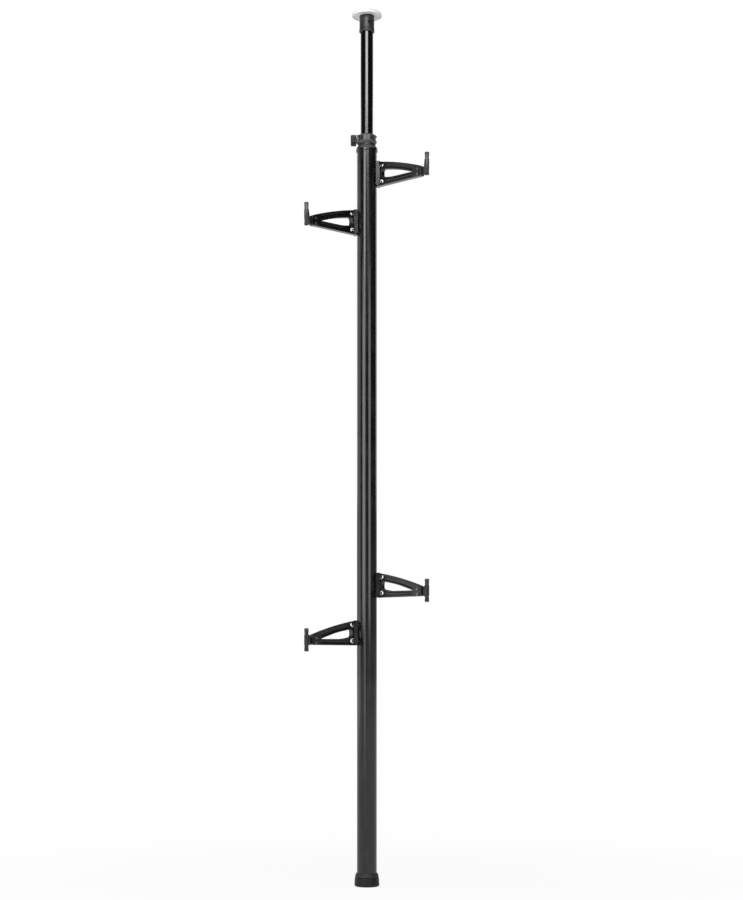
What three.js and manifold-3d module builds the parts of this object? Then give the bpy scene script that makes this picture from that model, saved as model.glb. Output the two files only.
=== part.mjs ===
// Bike storage tower: a column wedged between floor and ceiling that carries two bikes on four arms.
// Millimetres, +Z up. The origin is the centre of the foot on the floor, the arms reach forward to -Y.
import * as THREE from 'three';
import { mergeVertices } from 'three/addons/utils/BufferGeometryUtils.js';
import Module from 'manifold-3d';

const wasm = await Module();
wasm.setup();

// Room height that the tower fills, the gap between pieces that seat or slide, and the overrun of cuts.
const ceilingHeight = 2438;
const gap = 0.3;
const overrun = 4;

// Distance within which two corners are one, and where the middle of a rounded edge lies in its corner.
const weld = 1e-4;
const midRoundShare = 0.3;

// Foot: a rubber boot under a flared plastic socket that takes the column's lower end.
const boot = { radius: 35.2, topRadius: 33.8, height: 25, floor: 4, wall: 3, corner: 5 };
const socket = { top: 38, lip: 1.1, floor: 4, shoulder: 33.3, bulge: 1, spigot: 34, spigotBore: 15 };

// Column: an extruded round tube with an undercut slot down each side.
const column = { radius: 28, wall: 2.4 };
const slot = { mouth: 8.4, lip: 2.4, width: 15, depth: 5.2, wall: 1.8 };

// Mast: the tube that telescopes out of the column, bare between the clamp collar and the ceiling's cup.
const mast = { radius: 17.25, wall: 2, length: 1150, bare: 285.8 };
const mastGuide = { floor: 6, tongue: 34, tongueWidth: 26, spigot: 20 };

// Cap on the column's top end: a wide lip, a shoulder, a slope to its narrow neck, two tongues inside.
const cap = { lipRadius: 30, lipHeight: 6.5, lipChamfer: 2, skirt: 9.1, shoulderRadius: 28.2 };
const capNeck = { radius: 24.2, waistRadius: 24.8 };
const capSteps = { shoulder: 6, slope: 3.5, neck: 5.9 };
const capTongue = { width: 28, length: 30 };

// Clamp collar on the cap: two flanges with a groove between them, and a lug for the clamp knob.
const collar = { flangeRadius: 28.2, grooveRadius: 23.4, rimRadius: 19.5, height: 26.8 };
const collarLevels = { lowerFlange: 6, groove: 14.5, upperFlange: 21.6 };
const collarBoss = { width: 20, face: 27.2 };
const collarRib = { width: 3, turn: 42 };
const lug = { reach: 28.4, width: 22, bottom: 2, height: 22.6, corner: 3 };
const knob = { level: 10.9, radius: 15.6, length: 16.5, corner: 3, backCorner: 1.5 };
const knobHub = { radius: 9, length: 1 };
const knobFlute = { count: 9, radius: 4, depth: 1.5, phaseShare: 0.5 };
const stud = { radius: 4, inKnob: 9, shoeRadius: 5, shoeLength: 3.2 };
const insert = { radius: 6, length: 7 };

// Ceiling end: cup over the mast, plunger stem inside it, spring, plate and rubber pad.
const pad = { radius: 39.5, thickness: 3.2 };
const plate = { radius: 41.5, thickness: 3, lip: 2, lipDrop: 1.5, lipSlope: 1.2, edge: 0.7, topEdge: 1 };
const cup = { radius: 20.5, height: 45.9, roof: 3, mastCover: 29.6 };
const cupFlare = { radius: 21.4, height: 12, round: 3, roundHeight: 4.8 };
const stem = { length: 98, travel: 12 };
const cupScrew = { radius: 2, headRadius: 3.6, headHeight: 1.6, drop: 21.6, depth: 12, turn: 17 };
const plateScrew = { radius: 3, headRadius: 5.5, headHeight: 2.2, length: 24 };
const spring = { wire: 1.6, length: 79.4, turns: 9, clear: 1.6 };
const springSeat = { height: 10 };

// Arm: a flat truss with flanged edges and one window, swept forward, with a flange against the column.
const armReach = 125;
const armSweep = 43;
const arm = {
  rootHeight: 70, shoulderHeight: 56.5, tipHeight: 26.8, width: 15, web: 5, rim: 5, planeShift: 2,
};
const armCorner = { root: 8, tip: 6 };
const armFlange = { thickness: 8.5, depth: 26 };
const armTipBlock = 32;
const armWindowRim = 4;
const pocketRoundShare = 0.5;
const bolt = { radius: 3, headRadius: 5, headHeight: 6, socket: 2.5, socketDepth: 3, low: 13, spread: 45 };
const boltWindow = { radius: 6.2, beyond: 3.3 };
const slotBar = { thickness: 4, length: 66 };

// Window of the arm: corners as shares of reach and root height, and how far each corner is rounded.
const windowReachShares = [0.135, 0.135, 0.335, 0.82, 0.48];
const windowHeightShares = [0.655, 0.335, 0.25, 0.24, 0.5];
const windowRound = [9, 8, 12, 6, 20];

// Cradle at the arm's end: a tang in the arm, a beam under its soft grip, and an upright stop bar. The
// beam lies outward of the arm's end, and the grip and the bar's front lie forward of it.
const cradle = { centre: 12.8, outward: 9, height: 20, tang: 5, tangLength: 23.7, beam: 8 };
const stopBar = { forward: 82.4, thickness: 12, height: 63, width: 13, waist: 10, bow: 2.5, corner: 4 };
const grip = { forward: 15.4, side: 2.2, cover: 4.3, sag: 1.8 };
const cradleScrew = { radius: 2.5, headRadius: 4.3, headHeight: 2.6, spread: 14, fromTip: 12 };

// Bottom edge of each arm, as a share of the column's length up from its lower end.
const armHeightShares = {
  upper_left: 0.8826,
  upper_right: 0.9485,
  lower_left: 0.3239,
  lower_right: 0.3888,
};

// Rounding of the facets.
const tubeSides = 48;
const turnedSides = 32;
const smallSides = 10;
const keySides = 6;
const wireSides = 5;
const wireSteps = 8;
const cornerSteps = 2;
const edgeSteps = 6;

const finishes = {
  tube: { color: 0x1b1c1d, roughness: 0.28, metalness: 0.6 },
  cast: { color: 0x1d1d1e, roughness: 0.5, metalness: 0.3 },
  plastic: { color: 0x3a3a38, roughness: 0.55, metalness: 0 },
  knobPlastic: { color: 0x2e2c2d, roughness: 0.5, metalness: 0 },
  rubber: { color: 0x2a2a2a, roughness: 0.85, metalness: 0 },
  paleRubber: { color: 0xdadad6, roughness: 0.8, metalness: 0 },
  palePlastic: { color: 0xd6d6d2, roughness: 0.5, metalness: 0 },
  zinc: { color: 0xb9bcc0, roughness: 0.3, metalness: 1 },
  blackSteel: { color: 0x3d3e40, roughness: 0.35, metalness: 1 },
  brass: { color: 0xb08d4a, roughness: 0.35, metalness: 1 },
};

// Turns a geometry into a solid: shared vertices merged, collapsed triangles dropped, faces out.
function solid(geometry) {
  const bare = geometry.clone();
  bare.deleteAttribute('normal');
  bare.deleteAttribute('uv');
  const merged = mergeVertices(bare, weld);
  const position = merged.getAttribute('position').array;
  const triangles = [];
  for (let i = 0; i < merged.index.count; i += 3) {
    const [a, b, c] = [0, 1, 2].map((k) => merged.index.getX(i + k));
    if (a !== b && b !== c && c !== a) triangles.push(a, b, c);
  }
  if (signedVolume(position, triangles) < 0) triangles.reverse();
  return new wasm.Manifold(new wasm.Mesh({
    numProp: 3,
    vertProperties: new Float32Array(position),
    triVerts: new Uint32Array(triangles),
  }));
}

function signedVolume(position, triangles) {
  const corner = (i) => new THREE.Vector3().fromArray(position, 3 * triangles[i]);
  let sixfold = 0;
  for (let i = 0; i < triangles.length; i += 3) {
    sixfold += corner(i).dot(corner(i + 1).cross(corner(i + 2)));
  }
  return sixfold / 6;
}

function join(...solids) {
  return solids.reduce((whole, next) => whole.add(next));
}

function cut(whole, ...tools) {
  return tools.reduce((rest, tool) => rest.subtract(tool), whole);
}

// The mesh of a solid as a geometry, mirrored to the left side where asked.
function geometryOf(body, mirrored = false) {
  const mesh = body.getMesh();
  const position = Float32Array.from(mesh.vertProperties);
  const index = Array.from(mesh.triVerts);
  if (mirrored) {
    for (let i = 0; i < position.length; i += 3) position[i] = -position[i];
    index.reverse();
  }
  const geometry = new THREE.BufferGeometry();
  geometry.setAttribute('position', new THREE.BufferAttribute(position, 3));
  geometry.setIndex(index);
  geometry.computeVertexNormals();
  return geometry;
}

function piece(name, body, finish, mirrored = false) {
  const material = new THREE.MeshStandardMaterial(finishes[finish]);
  const mesh = new THREE.Mesh(geometryOf(body, mirrored), material);
  mesh.name = name;
  return mesh;
}

// Basic solids: box between two corners, rod along an axis, turned profile, extruded outline.
function box(low, high) {
  const size = high.map((value, k) => value - low[k]);
  const geometry = new THREE.BoxGeometry(...size);
  geometry.translate(...low.map((value, k) => value + size[k] / 2));
  return solid(geometry);
}

function rod(radius, from, to, sides = smallSides) {
  const start = new THREE.Vector3(...from);
  const along = new THREE.Vector3(...to).sub(start);
  const geometry = new THREE.CylinderGeometry(radius, radius, along.length(), sides);
  const upwards = new THREE.Vector3(0, 1, 0);
  geometry.applyQuaternion(new THREE.Quaternion().setFromUnitVectors(upwards, along.clone().normalize()));
  geometry.translate(...start.addScaledVector(along, 1 / 2).toArray());
  return solid(geometry);
}

function upright(radius, bottom, top, sides = tubeSides) {
  return rod(radius, [0, 0, bottom], [0, 0, top], sides);
}

// Profile of [radius, height] points, closed on itself, turned round the Z axis.
function turned(profile, sides = turnedSides) {
  const points = profile.concat([profile[0]]).map(([r, z]) => new THREE.Vector2(r, z));
  const geometry = new THREE.LatheGeometry(points, sides);
  geometry.rotateX(Math.PI / 2);
  return solid(geometry);
}

// Outline with straight edges between corners, each corner rounded off over its own setback if it has one.
function roundedOutline(corners, setbacks = corners.map(() => 0)) {
  const points = corners.map(([x, y]) => new THREE.Vector2(x, y));
  const shape = new THREE.Shape();
  points.forEach((corner, i) => {
    const before = points.at(i - 1);
    const after = points[(i + 1) % points.length];
    const start = corner.clone().add(before.clone().sub(corner).setLength(setbacks[i]));
    const end = corner.clone().add(after.clone().sub(corner).setLength(setbacks[i]));
    if (i === 0) shape.moveTo(start.x, start.y);
    else shape.lineTo(start.x, start.y);
    if (setbacks[i] > 0) shape.quadraticCurveTo(corner.x, corner.y, end.x, end.y);
  });
  shape.closePath();
  return shape;
}

function rectangle([left, low], [right, high], setbacks) {
  return roundedOutline([[left, low], [right, low], [right, high], [left, high]], setbacks);
}

// Corners of a closed outline moved outward by a distance; corners run clockwise.
function outsetCorners(corners, distance) {
  const points = corners.map(([x, y]) => new THREE.Vector2(x, y));
  return points.map((corner, i) => {
    const into = corner.clone().sub(points.at(i - 1)).normalize();
    const out = points[(i + 1) % points.length].clone().sub(corner).normalize();
    const normalIn = new THREE.Vector2(-into.y, into.x);
    const normalOut = new THREE.Vector2(-out.y, out.x);
    const bisector = normalIn.clone().add(normalOut).normalize();
    const moved = corner.clone().addScaledVector(bisector, distance / bisector.dot(normalIn));
    return [moved.x, moved.y];
  });
}

// Extrudes an outline by a depth centred on its plane; across and up give the outline's two axes.
function slab(shape, depth, across, up, origin = [0, 0, 0], steps = cornerSteps) {
  const geometry = new THREE.ExtrudeGeometry(shape, { depth, bevelEnabled: false, curveSegments: steps });
  geometry.translate(0, 0, -depth / 2);
  const xAxis = new THREE.Vector3(...across);
  const yAxis = new THREE.Vector3(...up);
  const frame = new THREE.Matrix4().makeBasis(xAxis, yAxis, xAxis.clone().cross(yAxis));
  frame.setPosition(...origin);
  geometry.applyMatrix4(frame);
  return solid(geometry);
}

// Levels that several pieces share, worked out from the sizes.
const plateTop = ceilingHeight - pad.thickness - gap;
const plateBottom = plateTop - plate.thickness;
const cupTop = plateBottom - gap;
const cupBottom = cupTop - cup.height;
const collarBottom = cupBottom - mast.bare - collar.height;
const capTop = collarBottom - gap;
const capBottom = capTop - capSteps.neck - capSteps.slope - capSteps.shoulder - cap.lipHeight;
const columnTop = capBottom + cap.skirt;
const socketFloorTop = boot.floor + gap + socket.floor;
const columnBottom = socketFloorTop + gap;
const columnBore = column.radius - column.wall;
const slotLipFace = column.radius - slot.lip;
const slotFloorFace = slotLipFace - slot.depth;
const slotInnerWall = slotFloorFace - slot.wall;
const mastBore = mast.radius - mast.wall;
const cupRoof = cupTop - cup.roof;
const mastTop = cupBottom + cup.mastCover;
const mastBottom = mastTop - mast.length;
const stemTop = cupRoof - gap;
const stemBottom = stemTop - stem.length;
const springTop = stemBottom - gap;
const springBottom = springTop - spring.length;

// Part of the column's bore that is free of the slot channels, less a running gap.
function boreFiller(bottom, top, width) {
  const round = upright(columnBore - gap, bottom, top);
  const half = width / 2;
  return round.intersect(box([-half, -column.radius, bottom], [half, column.radius, top]));
}

function footBoot() {
  const { radius, topRadius, height, floor, wall, corner } = boot;
  const roundMiddle = corner * midRoundShare;
  return turned([
    [0, 0], [radius - corner, 0], [radius - roundMiddle, roundMiddle], [radius, corner],
    [topRadius, height], [topRadius - wall, height], [topRadius - wall, floor], [0, floor],
  ]);
}

function footSocket() {
  const base = boot.floor + gap;
  const inside = boot.topRadius - boot.wall - gap;
  const bore = column.radius + gap;
  const rim = bore + socket.lip;
  const shoulder = boot.height + gap;
  const middle = [(socket.shoulder + rim) / 2 + socket.bulge, (socket.top + shoulder) / 2];
  const shell = turned([
    [0, base], [inside, base], [inside, shoulder], [socket.shoulder, shoulder],
    middle, [rim, socket.top], [bore, socket.top], [bore, socketFloorTop], [0, socketFloorTop],
  ]);
  const spigotTop = socketFloorTop + socket.spigot;
  const spigot = boreFiller(socketFloorTop - gap, spigotTop, 2 * (slotInnerWall - gap));
  const hollow = upright(socket.spigotBore, socketFloorTop + gap, spigotTop + overrun, turnedSides);
  return cut(join(shell, spigot), hollow);
}

function outerColumn() {
  const tube = cut(
    upright(column.radius, columnBottom, columnTop),
    upright(columnBore, columnBottom - overrun, columnTop + overrun),
  );
  const channelHalf = slot.width / 2;
  const mouthHalf = slot.mouth / 2;
  const outerHalf = channelHalf + slot.wall;
  let body = tube;
  for (const side of [-1, 1]) {
    const bar = (near, far, half, beyond) => {
      const [low, high] = [side * near, side * far].sort((a, b) => a - b);
      return box([low, -half, columnBottom - beyond], [high, half, columnTop + beyond]);
    };
    const round = upright(column.radius, columnBottom, columnTop);
    const wall = bar(slotInnerWall, column.radius, outerHalf, 0).intersect(round);
    const channel = bar(slotFloorFace, slotLipFace, channelHalf, overrun);
    const mouth = bar(slotFloorFace, column.radius + overrun, mouthHalf, overrun);
    body = cut(join(body, wall), channel, mouth);
  }
  return body;
}

function columnCap() {
  const mastBoreRadius = mast.radius + gap;
  const tubeSeat = column.radius + gap;
  const lipTop = capBottom + cap.lipHeight;
  const shoulderTop = lipTop + capSteps.shoulder;
  const neckBottom = capTop - capSteps.neck;
  const seatTop = columnTop + gap;
  const shell = turned([
    [mastBoreRadius, seatTop], [tubeSeat, seatTop], [tubeSeat, capBottom],
    [cap.lipRadius - cap.lipChamfer / 2, capBottom], [cap.lipRadius, capBottom + cap.lipChamfer],
    [cap.lipRadius, lipTop], [cap.shoulderRadius, shoulderTop], [capNeck.waistRadius, neckBottom],
    [capNeck.radius, capTop], [mastBoreRadius, capTop],
  ]);
  const tongues = cut(
    boreFiller(columnTop - capTongue.length, seatTop + gap, capTongue.width),
    upright(mastBoreRadius, columnTop - capTongue.length - overrun, seatTop + overrun),
  );
  return join(shell, tongues);
}

// Collar: a turned body with flanges, with bosses and ribs in its groove and a lug on its left side.
function clampCollar() {
  const bore = mast.radius + gap;
  const level = (height) => collarBottom + height;
  const top = level(collar.height);
  const low = level(collarLevels.lowerFlange);
  const high = level(collarLevels.upperFlange);
  const body = turned([
    [bore, collarBottom], [capNeck.radius, collarBottom], [collar.flangeRadius, low],
    [collar.grooveRadius, level(collarLevels.groove)], [collar.flangeRadius, high],
    [collar.rimRadius, top], [bore, top],
  ]);
  const bossHalf = collarBoss.width / 2;
  const bosses = [-1, 1].map((side) => {
    const faces = [side * collar.rimRadius, side * collarBoss.face].sort((a, b) => a - b);
    return box([-bossHalf, faces[0], low], [bossHalf, faces[1], high]);
  });
  const ribs = [-1, 1].flatMap((front) => [-1, 1].map((side) => {
    const angle = THREE.MathUtils.degToRad(90 * front + side * collarRib.turn);
    const across = [Math.cos(angle), Math.sin(angle), 0];
    const outline = rectangle([collar.rimRadius, low], [collarBoss.face, high]);
    return slab(outline, collarRib.width, across, [0, 0, 1]);
  }));
  const lugHalf = lug.width / 2;
  const lugBottom = level(lug.bottom);
  const lugCorners = [lug.corner, lug.corner, lug.corner, lug.corner];
  const lugOutline = rectangle([-lugHalf, lugBottom], [lugHalf, lugBottom + lug.height], lugCorners);
  const lugDepth = lug.reach - collar.rimRadius;
  const lugMiddle = -(lug.reach + collar.rimRadius) / 2;
  const lugBlock = slab(lugOutline, lugDepth, [0, 1, 0], [0, 0, 1], [lugMiddle, 0, 0]);
  const axis = level(knob.level);
  const insertEnds = [[-lug.reach - overrun, 0, axis], [insertInner() + gap, 0, axis]];
  const insertHole = rod(insert.radius + gap, ...insertEnds);
  const shoeHole = rod(stud.shoeRadius + gap, [-lug.reach, 0, axis], [0, 0, axis]);
  const whole = join(body, ...bosses, ...ribs, lugBlock);
  return cut(whole, upright(bore, collarBottom - overrun, top + overrun), insertHole, shoeHole);
}

// Place along X of the insert's inner end, just outside the pressure shoe.
function insertInner() {
  return -(lug.reach - gap - insert.length);
}

function clampInsert() {
  const axis = collarBottom + knob.level;
  const outer = rod(insert.radius, [-lug.reach + gap, 0, axis], [insertInner(), 0, axis]);
  return cut(outer, rod(stud.radius + gap, [-lug.reach - overrun, 0, axis], [0, 0, axis]));
}

// Shoe: its inner end is hollowed to the mast's round.
function clampShoe() {
  const axis = collarBottom + knob.level;
  const inner = -(mast.radius + gap);
  const outer = inner - stud.shoeLength;
  const blank = rod(stud.shoeRadius, [outer, 0, axis], [inner + overrun, 0, axis]);
  return cut(blank, upright(mast.radius + gap, axis - collar.height, axis + collar.height));
}

function clampStud() {
  const axis = collarBottom + knob.level;
  const inner = -(mast.radius + gap + stud.shoeLength + gap);
  const outer = -(lug.reach + gap + knobHub.length + stud.inKnob);
  return rod(stud.radius, [outer, 0, axis], [inner, 0, axis]);
}

// Knob: a turned body with a hub towards the collar and a ring of finger flutes, its axis along X.
function clampKnob() {
  const axis = collarBottom + knob.level;
  const hubFace = lug.reach + gap;
  const back = hubFace + knobHub.length;
  const front = hubFace + knob.length;
  const { radius, corner, backCorner } = knob;
  const roundMiddle = corner * midRoundShare;
  const profile = [
    [0, hubFace], [knobHub.radius, hubFace], [knobHub.radius, back], [radius - backCorner, back],
    [radius, back + backCorner], [radius, front - corner], [radius - roundMiddle, front - roundMiddle],
    [radius - corner, front], [0, front],
  ];
  const points = profile.map(([r, x]) => new THREE.Vector2(r, x));
  const geometry = new THREE.LatheGeometry(points, turnedSides);
  geometry.rotateZ(Math.PI / 2);
  geometry.translate(0, 0, axis);
  const flutes = Array.from({ length: knobFlute.count }, (_, i) => {
    const angle = (2 * Math.PI * (i + knobFlute.phaseShare)) / knobFlute.count;
    const distance = radius + knobFlute.radius - knobFlute.depth;
    const y = distance * Math.cos(angle);
    const z = axis + distance * Math.sin(angle);
    return rod(knobFlute.radius, [-back, y, z], [-front - overrun, y, z]);
  });
  const studHole = rod(stud.radius + gap, [-back - stud.inKnob - gap, 0, axis], [0, 0, axis]);
  return cut(solid(geometry), ...flutes, studHole);
}

function mastTube() {
  const tube = cut(
    upright(mast.radius, mastBottom, mastTop, tubeSides),
    upright(mastBore, mastBottom - overrun, mastTop + overrun, turnedSides),
  );
  return cut(tube, cupScrewTrack());
}

// Slot in the mast's front in which the cup's screw travels.
function cupScrewTrack() {
  const { start, end } = cupScrewLine();
  const lowered = ([x, y, z]) => [x, y, z - stem.travel];
  const radius = cupScrew.radius + gap;
  const top = new THREE.Vector3(...start);
  const inward = new THREE.Vector3(...end).sub(top).normalize();
  const across = new THREE.Vector3(-inward.y, inward.x, 0);
  const outline = rectangle([-radius, top.z - stem.travel], [radius, top.z]);
  const depth = top.distanceTo(new THREE.Vector3(...end));
  const middle = [top.x, top.y].map((value, k) => value + (inward.getComponent(k) * depth) / 2);
  const straight = slab(outline, depth, across.toArray(), [0, 0, 1], [...middle, 0]);
  return join(straight, rod(radius, start, end), rod(radius, lowered(start), lowered(end)));
}

// Guide on the mast's lower end: a floor, a spigot in the mast and two tongues that run in the column.
function mastLowerGuide() {
  const floorTop = mastBottom - gap;
  const floorBottom = floorTop - mastGuide.floor;
  const tongueTop = floorTop + mastGuide.tongue;
  const floor = boreFiller(floorBottom, floorTop, 2 * (slotInnerWall - gap));
  const tongues = cut(
    boreFiller(floorBottom, tongueTop, mastGuide.tongueWidth),
    upright(mast.radius + gap, floorTop, tongueTop + overrun),
  );
  const spigot = upright(mastBore - gap, floorBottom, floorTop + mastGuide.spigot, turnedSides);
  return join(floor, tongues, spigot);
}

function mastSpringSeat() {
  const top = springBottom - gap;
  return upright(mastBore - gap, top - springSeat.height, top, turnedSides);
}

// Spring: one unbroken wire on a helix, ring by ring, closed at both ends.
function tensionSpring() {
  const radius = mastBore - spring.clear - spring.wire;
  const bottom = springBottom + spring.wire;
  const rise = spring.length - 2 * spring.wire;
  const steps = spring.turns * wireSteps;
  const position = [];
  for (let i = 0; i <= steps; i += 1) {
    const angle = (2 * Math.PI * i) / wireSteps;
    const outward = new THREE.Vector3(Math.cos(angle), Math.sin(angle), 0);
    const centre = outward.clone().multiplyScalar(radius).setZ(bottom + (rise * i) / steps);
    for (let k = 0; k < wireSides; k += 1) {
      const turn = (2 * Math.PI * k) / wireSides;
      const point = centre.clone().addScaledVector(outward, spring.wire * Math.cos(turn));
      point.z += spring.wire * Math.sin(turn);
      position.push(...point.toArray());
    }
  }
  const index = [];
  for (let i = 0; i < steps; i += 1) {
    for (let k = 0; k < wireSides; k += 1) {
      const next = (k + 1) % wireSides;
      const [a, b] = [i * wireSides + k, i * wireSides + next];
      index.push(a, a + wireSides, b, b, a + wireSides, b + wireSides);
    }
  }
  const last = steps * wireSides;
  for (let k = 1; k < wireSides - 1; k += 1) {
    index.push(0, k, k + 1);
    index.push(last, last + k + 1, last + k);
  }
  const geometry = new THREE.BufferGeometry();
  geometry.setAttribute('position', new THREE.Float32BufferAttribute(position, 3));
  geometry.setIndex(index);
  console.log('spring: least gap between turns', rise / spring.turns - 2 * spring.wire, 'mm');
  return solid(geometry);
}

function ceilingCup() {
  const bore = mast.radius + gap;
  const roofHole = plateScrew.radius + gap;
  const { radius, height, round, roundHeight } = cupFlare;
  const roundMiddle = [radius - round * midRoundShare, cupBottom + roundHeight * midRoundShare];
  const shell = turned([
    [bore, cupBottom], [radius - round, cupBottom], roundMiddle, [radius, cupBottom + roundHeight],
    [cup.radius, cupBottom + height], [cup.radius, cupTop],
    [roofHole, cupTop], [roofHole, cupRoof], [bore, cupRoof],
  ]);
  const { start, end } = cupScrewLine();
  return cut(shell, rod(cupScrew.radius + gap, start, end));
}

// Line of the cup's screw: from outside the cup's front into the stem.
function cupScrewLine() {
  const angle = THREE.MathUtils.degToRad(-90 + cupScrew.turn);
  const level = cupTop - cupScrew.drop;
  const at = (radius) => [radius * Math.cos(angle), radius * Math.sin(angle), level];
  return {
    seat: at(cup.radius + gap),
    inHead: at(cup.radius + 2 * gap),
    head: at(cup.radius + gap + cupScrew.headHeight),
    tip: at(cup.radius - cupScrew.depth),
    start: at(cup.radius + overrun),
    end: at(cup.radius - cupScrew.depth - gap),
  };
}

function cupFrontScrew() {
  const { seat, inHead, head, tip } = cupScrewLine();
  return join(rod(cupScrew.radius, tip, inHead), rod(cupScrew.headRadius, seat, head));
}

// Stem: slides in the mast, tapped for its two screws.
function ceilingStem() {
  const body = upright(mastBore - gap, stemBottom, stemTop, turnedSides);
  const { start, end } = cupScrewLine();
  const sideHole = rod(cupScrew.radius + gap, start, end);
  const topHoleEnd = plateTop - plateScrew.length - gap;
  const topHole = upright(plateScrew.radius + gap, topHoleEnd, stemTop + overrun, smallSides);
  return cut(body, sideHole, topHole);
}

function ceilingPlate() {
  const { radius, lip, edge, topEdge } = plate;
  const rimBottom = plateBottom - plate.lipDrop;
  const dish = turned([
    [0, plateBottom], [radius - lip - plate.lipSlope, plateBottom], [radius - lip, rimBottom],
    [radius - edge, rimBottom], [radius, rimBottom + edge],
    [radius, plateTop - topEdge], [radius - topEdge, plateTop], [0, plateTop],
  ]);
  const hole = upright(plateScrew.radius + gap, plateBottom - overrun, plateTop + overrun, smallSides);
  const recessBottom = plateTop - gap - plateScrew.headHeight - gap;
  const recess = upright(plateScrew.headRadius + gap, recessBottom, plateTop + overrun, smallSides);
  return cut(dish, hole, recess);
}

function ceilingPlateScrew() {
  const headTop = plateTop - gap;
  const headBottom = headTop - plateScrew.headHeight;
  return join(
    upright(plateScrew.headRadius, headBottom, headTop, smallSides),
    upright(plateScrew.radius, plateTop - plateScrew.length, headBottom + gap, smallSides),
  );
}

function ceilingPad() {
  return upright(pad.radius, ceilingHeight - pad.thickness, ceilingHeight, turnedSides);
}

// Arm's own frame: u runs along the truss from the column's side, z up from the arm's bottom edge.
const sweep = THREE.MathUtils.degToRad(armSweep);
const armAlong = [Math.cos(sweep), -Math.sin(sweep), 0];
const armNormal = [-Math.sin(sweep), -Math.cos(sweep), 0];
const armLength = armReach / Math.cos(sweep);
const armOrigin = [column.radius, arm.planeShift, 0];
const armEndForward = armReach * Math.tan(sweep) - arm.planeShift;
const cradleOffset = column.radius + armReach + cradle.outward;
const gripStart = armEndForward + grip.forward;
const stopBarFront = armEndForward + stopBar.forward;

function armPoint(u, z, out = 0) {
  return armOrigin.map((value, k) => value + u * armAlong[k] + out * armNormal[k] + (k === 2 ? z : 0));
}

function armSlab(shape, depth, out = 0) {
  return slab(shape, depth, armAlong, [0, 0, 1], armPoint(0, 0, out));
}

// Height of the arm's curved top edge at a distance u along the truss.
function armTopEdge(u) {
  const t = u / armLength;
  return arm.rootHeight * (1 - t) ** 2 + 2 * arm.shoulderHeight * t * (1 - t) + arm.tipHeight * t ** 2;
}

function armOutline() {
  const rootRun = armCorner.root / Math.cos(sweep);
  const tipStart = armLength - armCorner.tip;
  const shape = new THREE.Shape();
  shape.moveTo(0, armCorner.root);
  shape.lineTo(0, arm.rootHeight);
  for (let i = 1; i <= edgeSteps; i += 1) {
    const u = (tipStart * i) / edgeSteps;
    shape.lineTo(u, armTopEdge(u));
  }
  const tipTop = armTopEdge(armLength);
  shape.quadraticCurveTo(armLength, tipTop, armLength, tipTop - armCorner.tip);
  shape.lineTo(armLength, armCorner.tip);
  shape.quadraticCurveTo(armLength, 0, tipStart, 0);
  shape.lineTo(rootRun, 0);
  shape.quadraticCurveTo(0, 0, 0, armCorner.root);
  return shape;
}

// Shallow pocket on each face, a rim inside the outline, up to the solid block at the tip.
function armPocketOutline() {
  const start = arm.rim;
  const end = armLength - armTipBlock;
  const shape = new THREE.Shape();
  shape.moveTo(start, arm.rim);
  for (let i = 0; i <= edgeSteps; i += 1) {
    const u = start + ((end - start) * i) / edgeSteps;
    shape.lineTo(u, armTopEdge(u) - arm.rim);
  }
  shape.lineTo(end, arm.rim);
  return shape;
}

function windowCorners() {
  return windowReachShares.map((share, i) => [
    (armReach * share) / Math.cos(sweep),
    arm.rootHeight * windowHeightShares[i],
  ]);
}

// Window: corners run counter-clockwise from the root's upper corner, so an outset is negative.
function armWindow(grow = 0) {
  const corners = outsetCorners(windowCorners(), -grow);
  return roundedOutline(corners, windowRound.map((round) => round + grow * pocketRoundShare));
}

// Flange against the column: its front view is rounded at the bottom inner corner.
function armRootFlange() {
  const { thickness, depth } = armFlange;
  const inner = column.radius - arm.rim;
  const outer = column.radius + thickness;
  const outline = roundedOutline(
    [[inner, 0], [outer, 0], [outer, arm.rootHeight], [inner, arm.rootHeight]],
    [column.radius - inner + armCorner.root, 0, 0, 0],
  );
  return slab(outline, depth, [1, 0, 0], [0, 0, 1]);
}

function boltLevels() {
  return [bolt.low, bolt.low + bolt.spread];
}

function screwLevels() {
  return [cradle.centre - cradleScrew.spread / 2, cradle.centre + cradleScrew.spread / 2];
}

function armBody() {
  const pocketDepth = (arm.width - arm.web) / 2 + overrun;
  const pocketOut = arm.web / 2 + pocketDepth / 2;
  const island = armSlab(armWindow(armWindowRim), arm.width + 2 * overrun);
  const pocket = (face) => armSlab(armPocketOutline(), pocketDepth, face * pocketOut);
  const pockets = [-1, 1].map((face) => cut(pocket(face), island));
  const window = armSlab(armWindow(), arm.width + 2 * overrun);
  const headMiddle = column.radius + armFlange.thickness + boltWindow.beyond;
  const boltWindows = boltLevels().map((level) => rod(
    boltWindow.radius, [headMiddle, -armFlange.depth, level], [headMiddle, arm.planeShift, level],
  ));
  const truss = cut(armSlab(armOutline(), arm.width), window, ...pockets, ...boltWindows);
  const mortiseHalf = cradle.height / 2 + gap;
  const mortiseOutline = rectangle(
    [armLength - cradle.tangLength - gap, cradle.centre - mortiseHalf],
    [armLength + overrun, cradle.centre + mortiseHalf],
  );
  const mortise = armSlab(mortiseOutline, cradle.tang + 2 * gap);
  const through = arm.width / 2 + overrun;
  const screwHoles = screwLevels().map((level) => rod(
    cradleScrew.radius + gap,
    armPoint(armLength - cradleScrew.fromTip, level, -through),
    armPoint(armLength - cradleScrew.fromTip, level, through),
  ));
  const boltHoles = boltLevels().map((level) => rod(
    bolt.radius + gap, [0, 0, level], [column.radius + armFlange.thickness + overrun, 0, level],
  ));
  const columnRoom = upright(column.radius + gap, -overrun, arm.rootHeight + overrun);
  return cut(join(truss, armRootFlange()), columnRoom, mortise, ...screwHoles, ...boltHoles);
}

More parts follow.
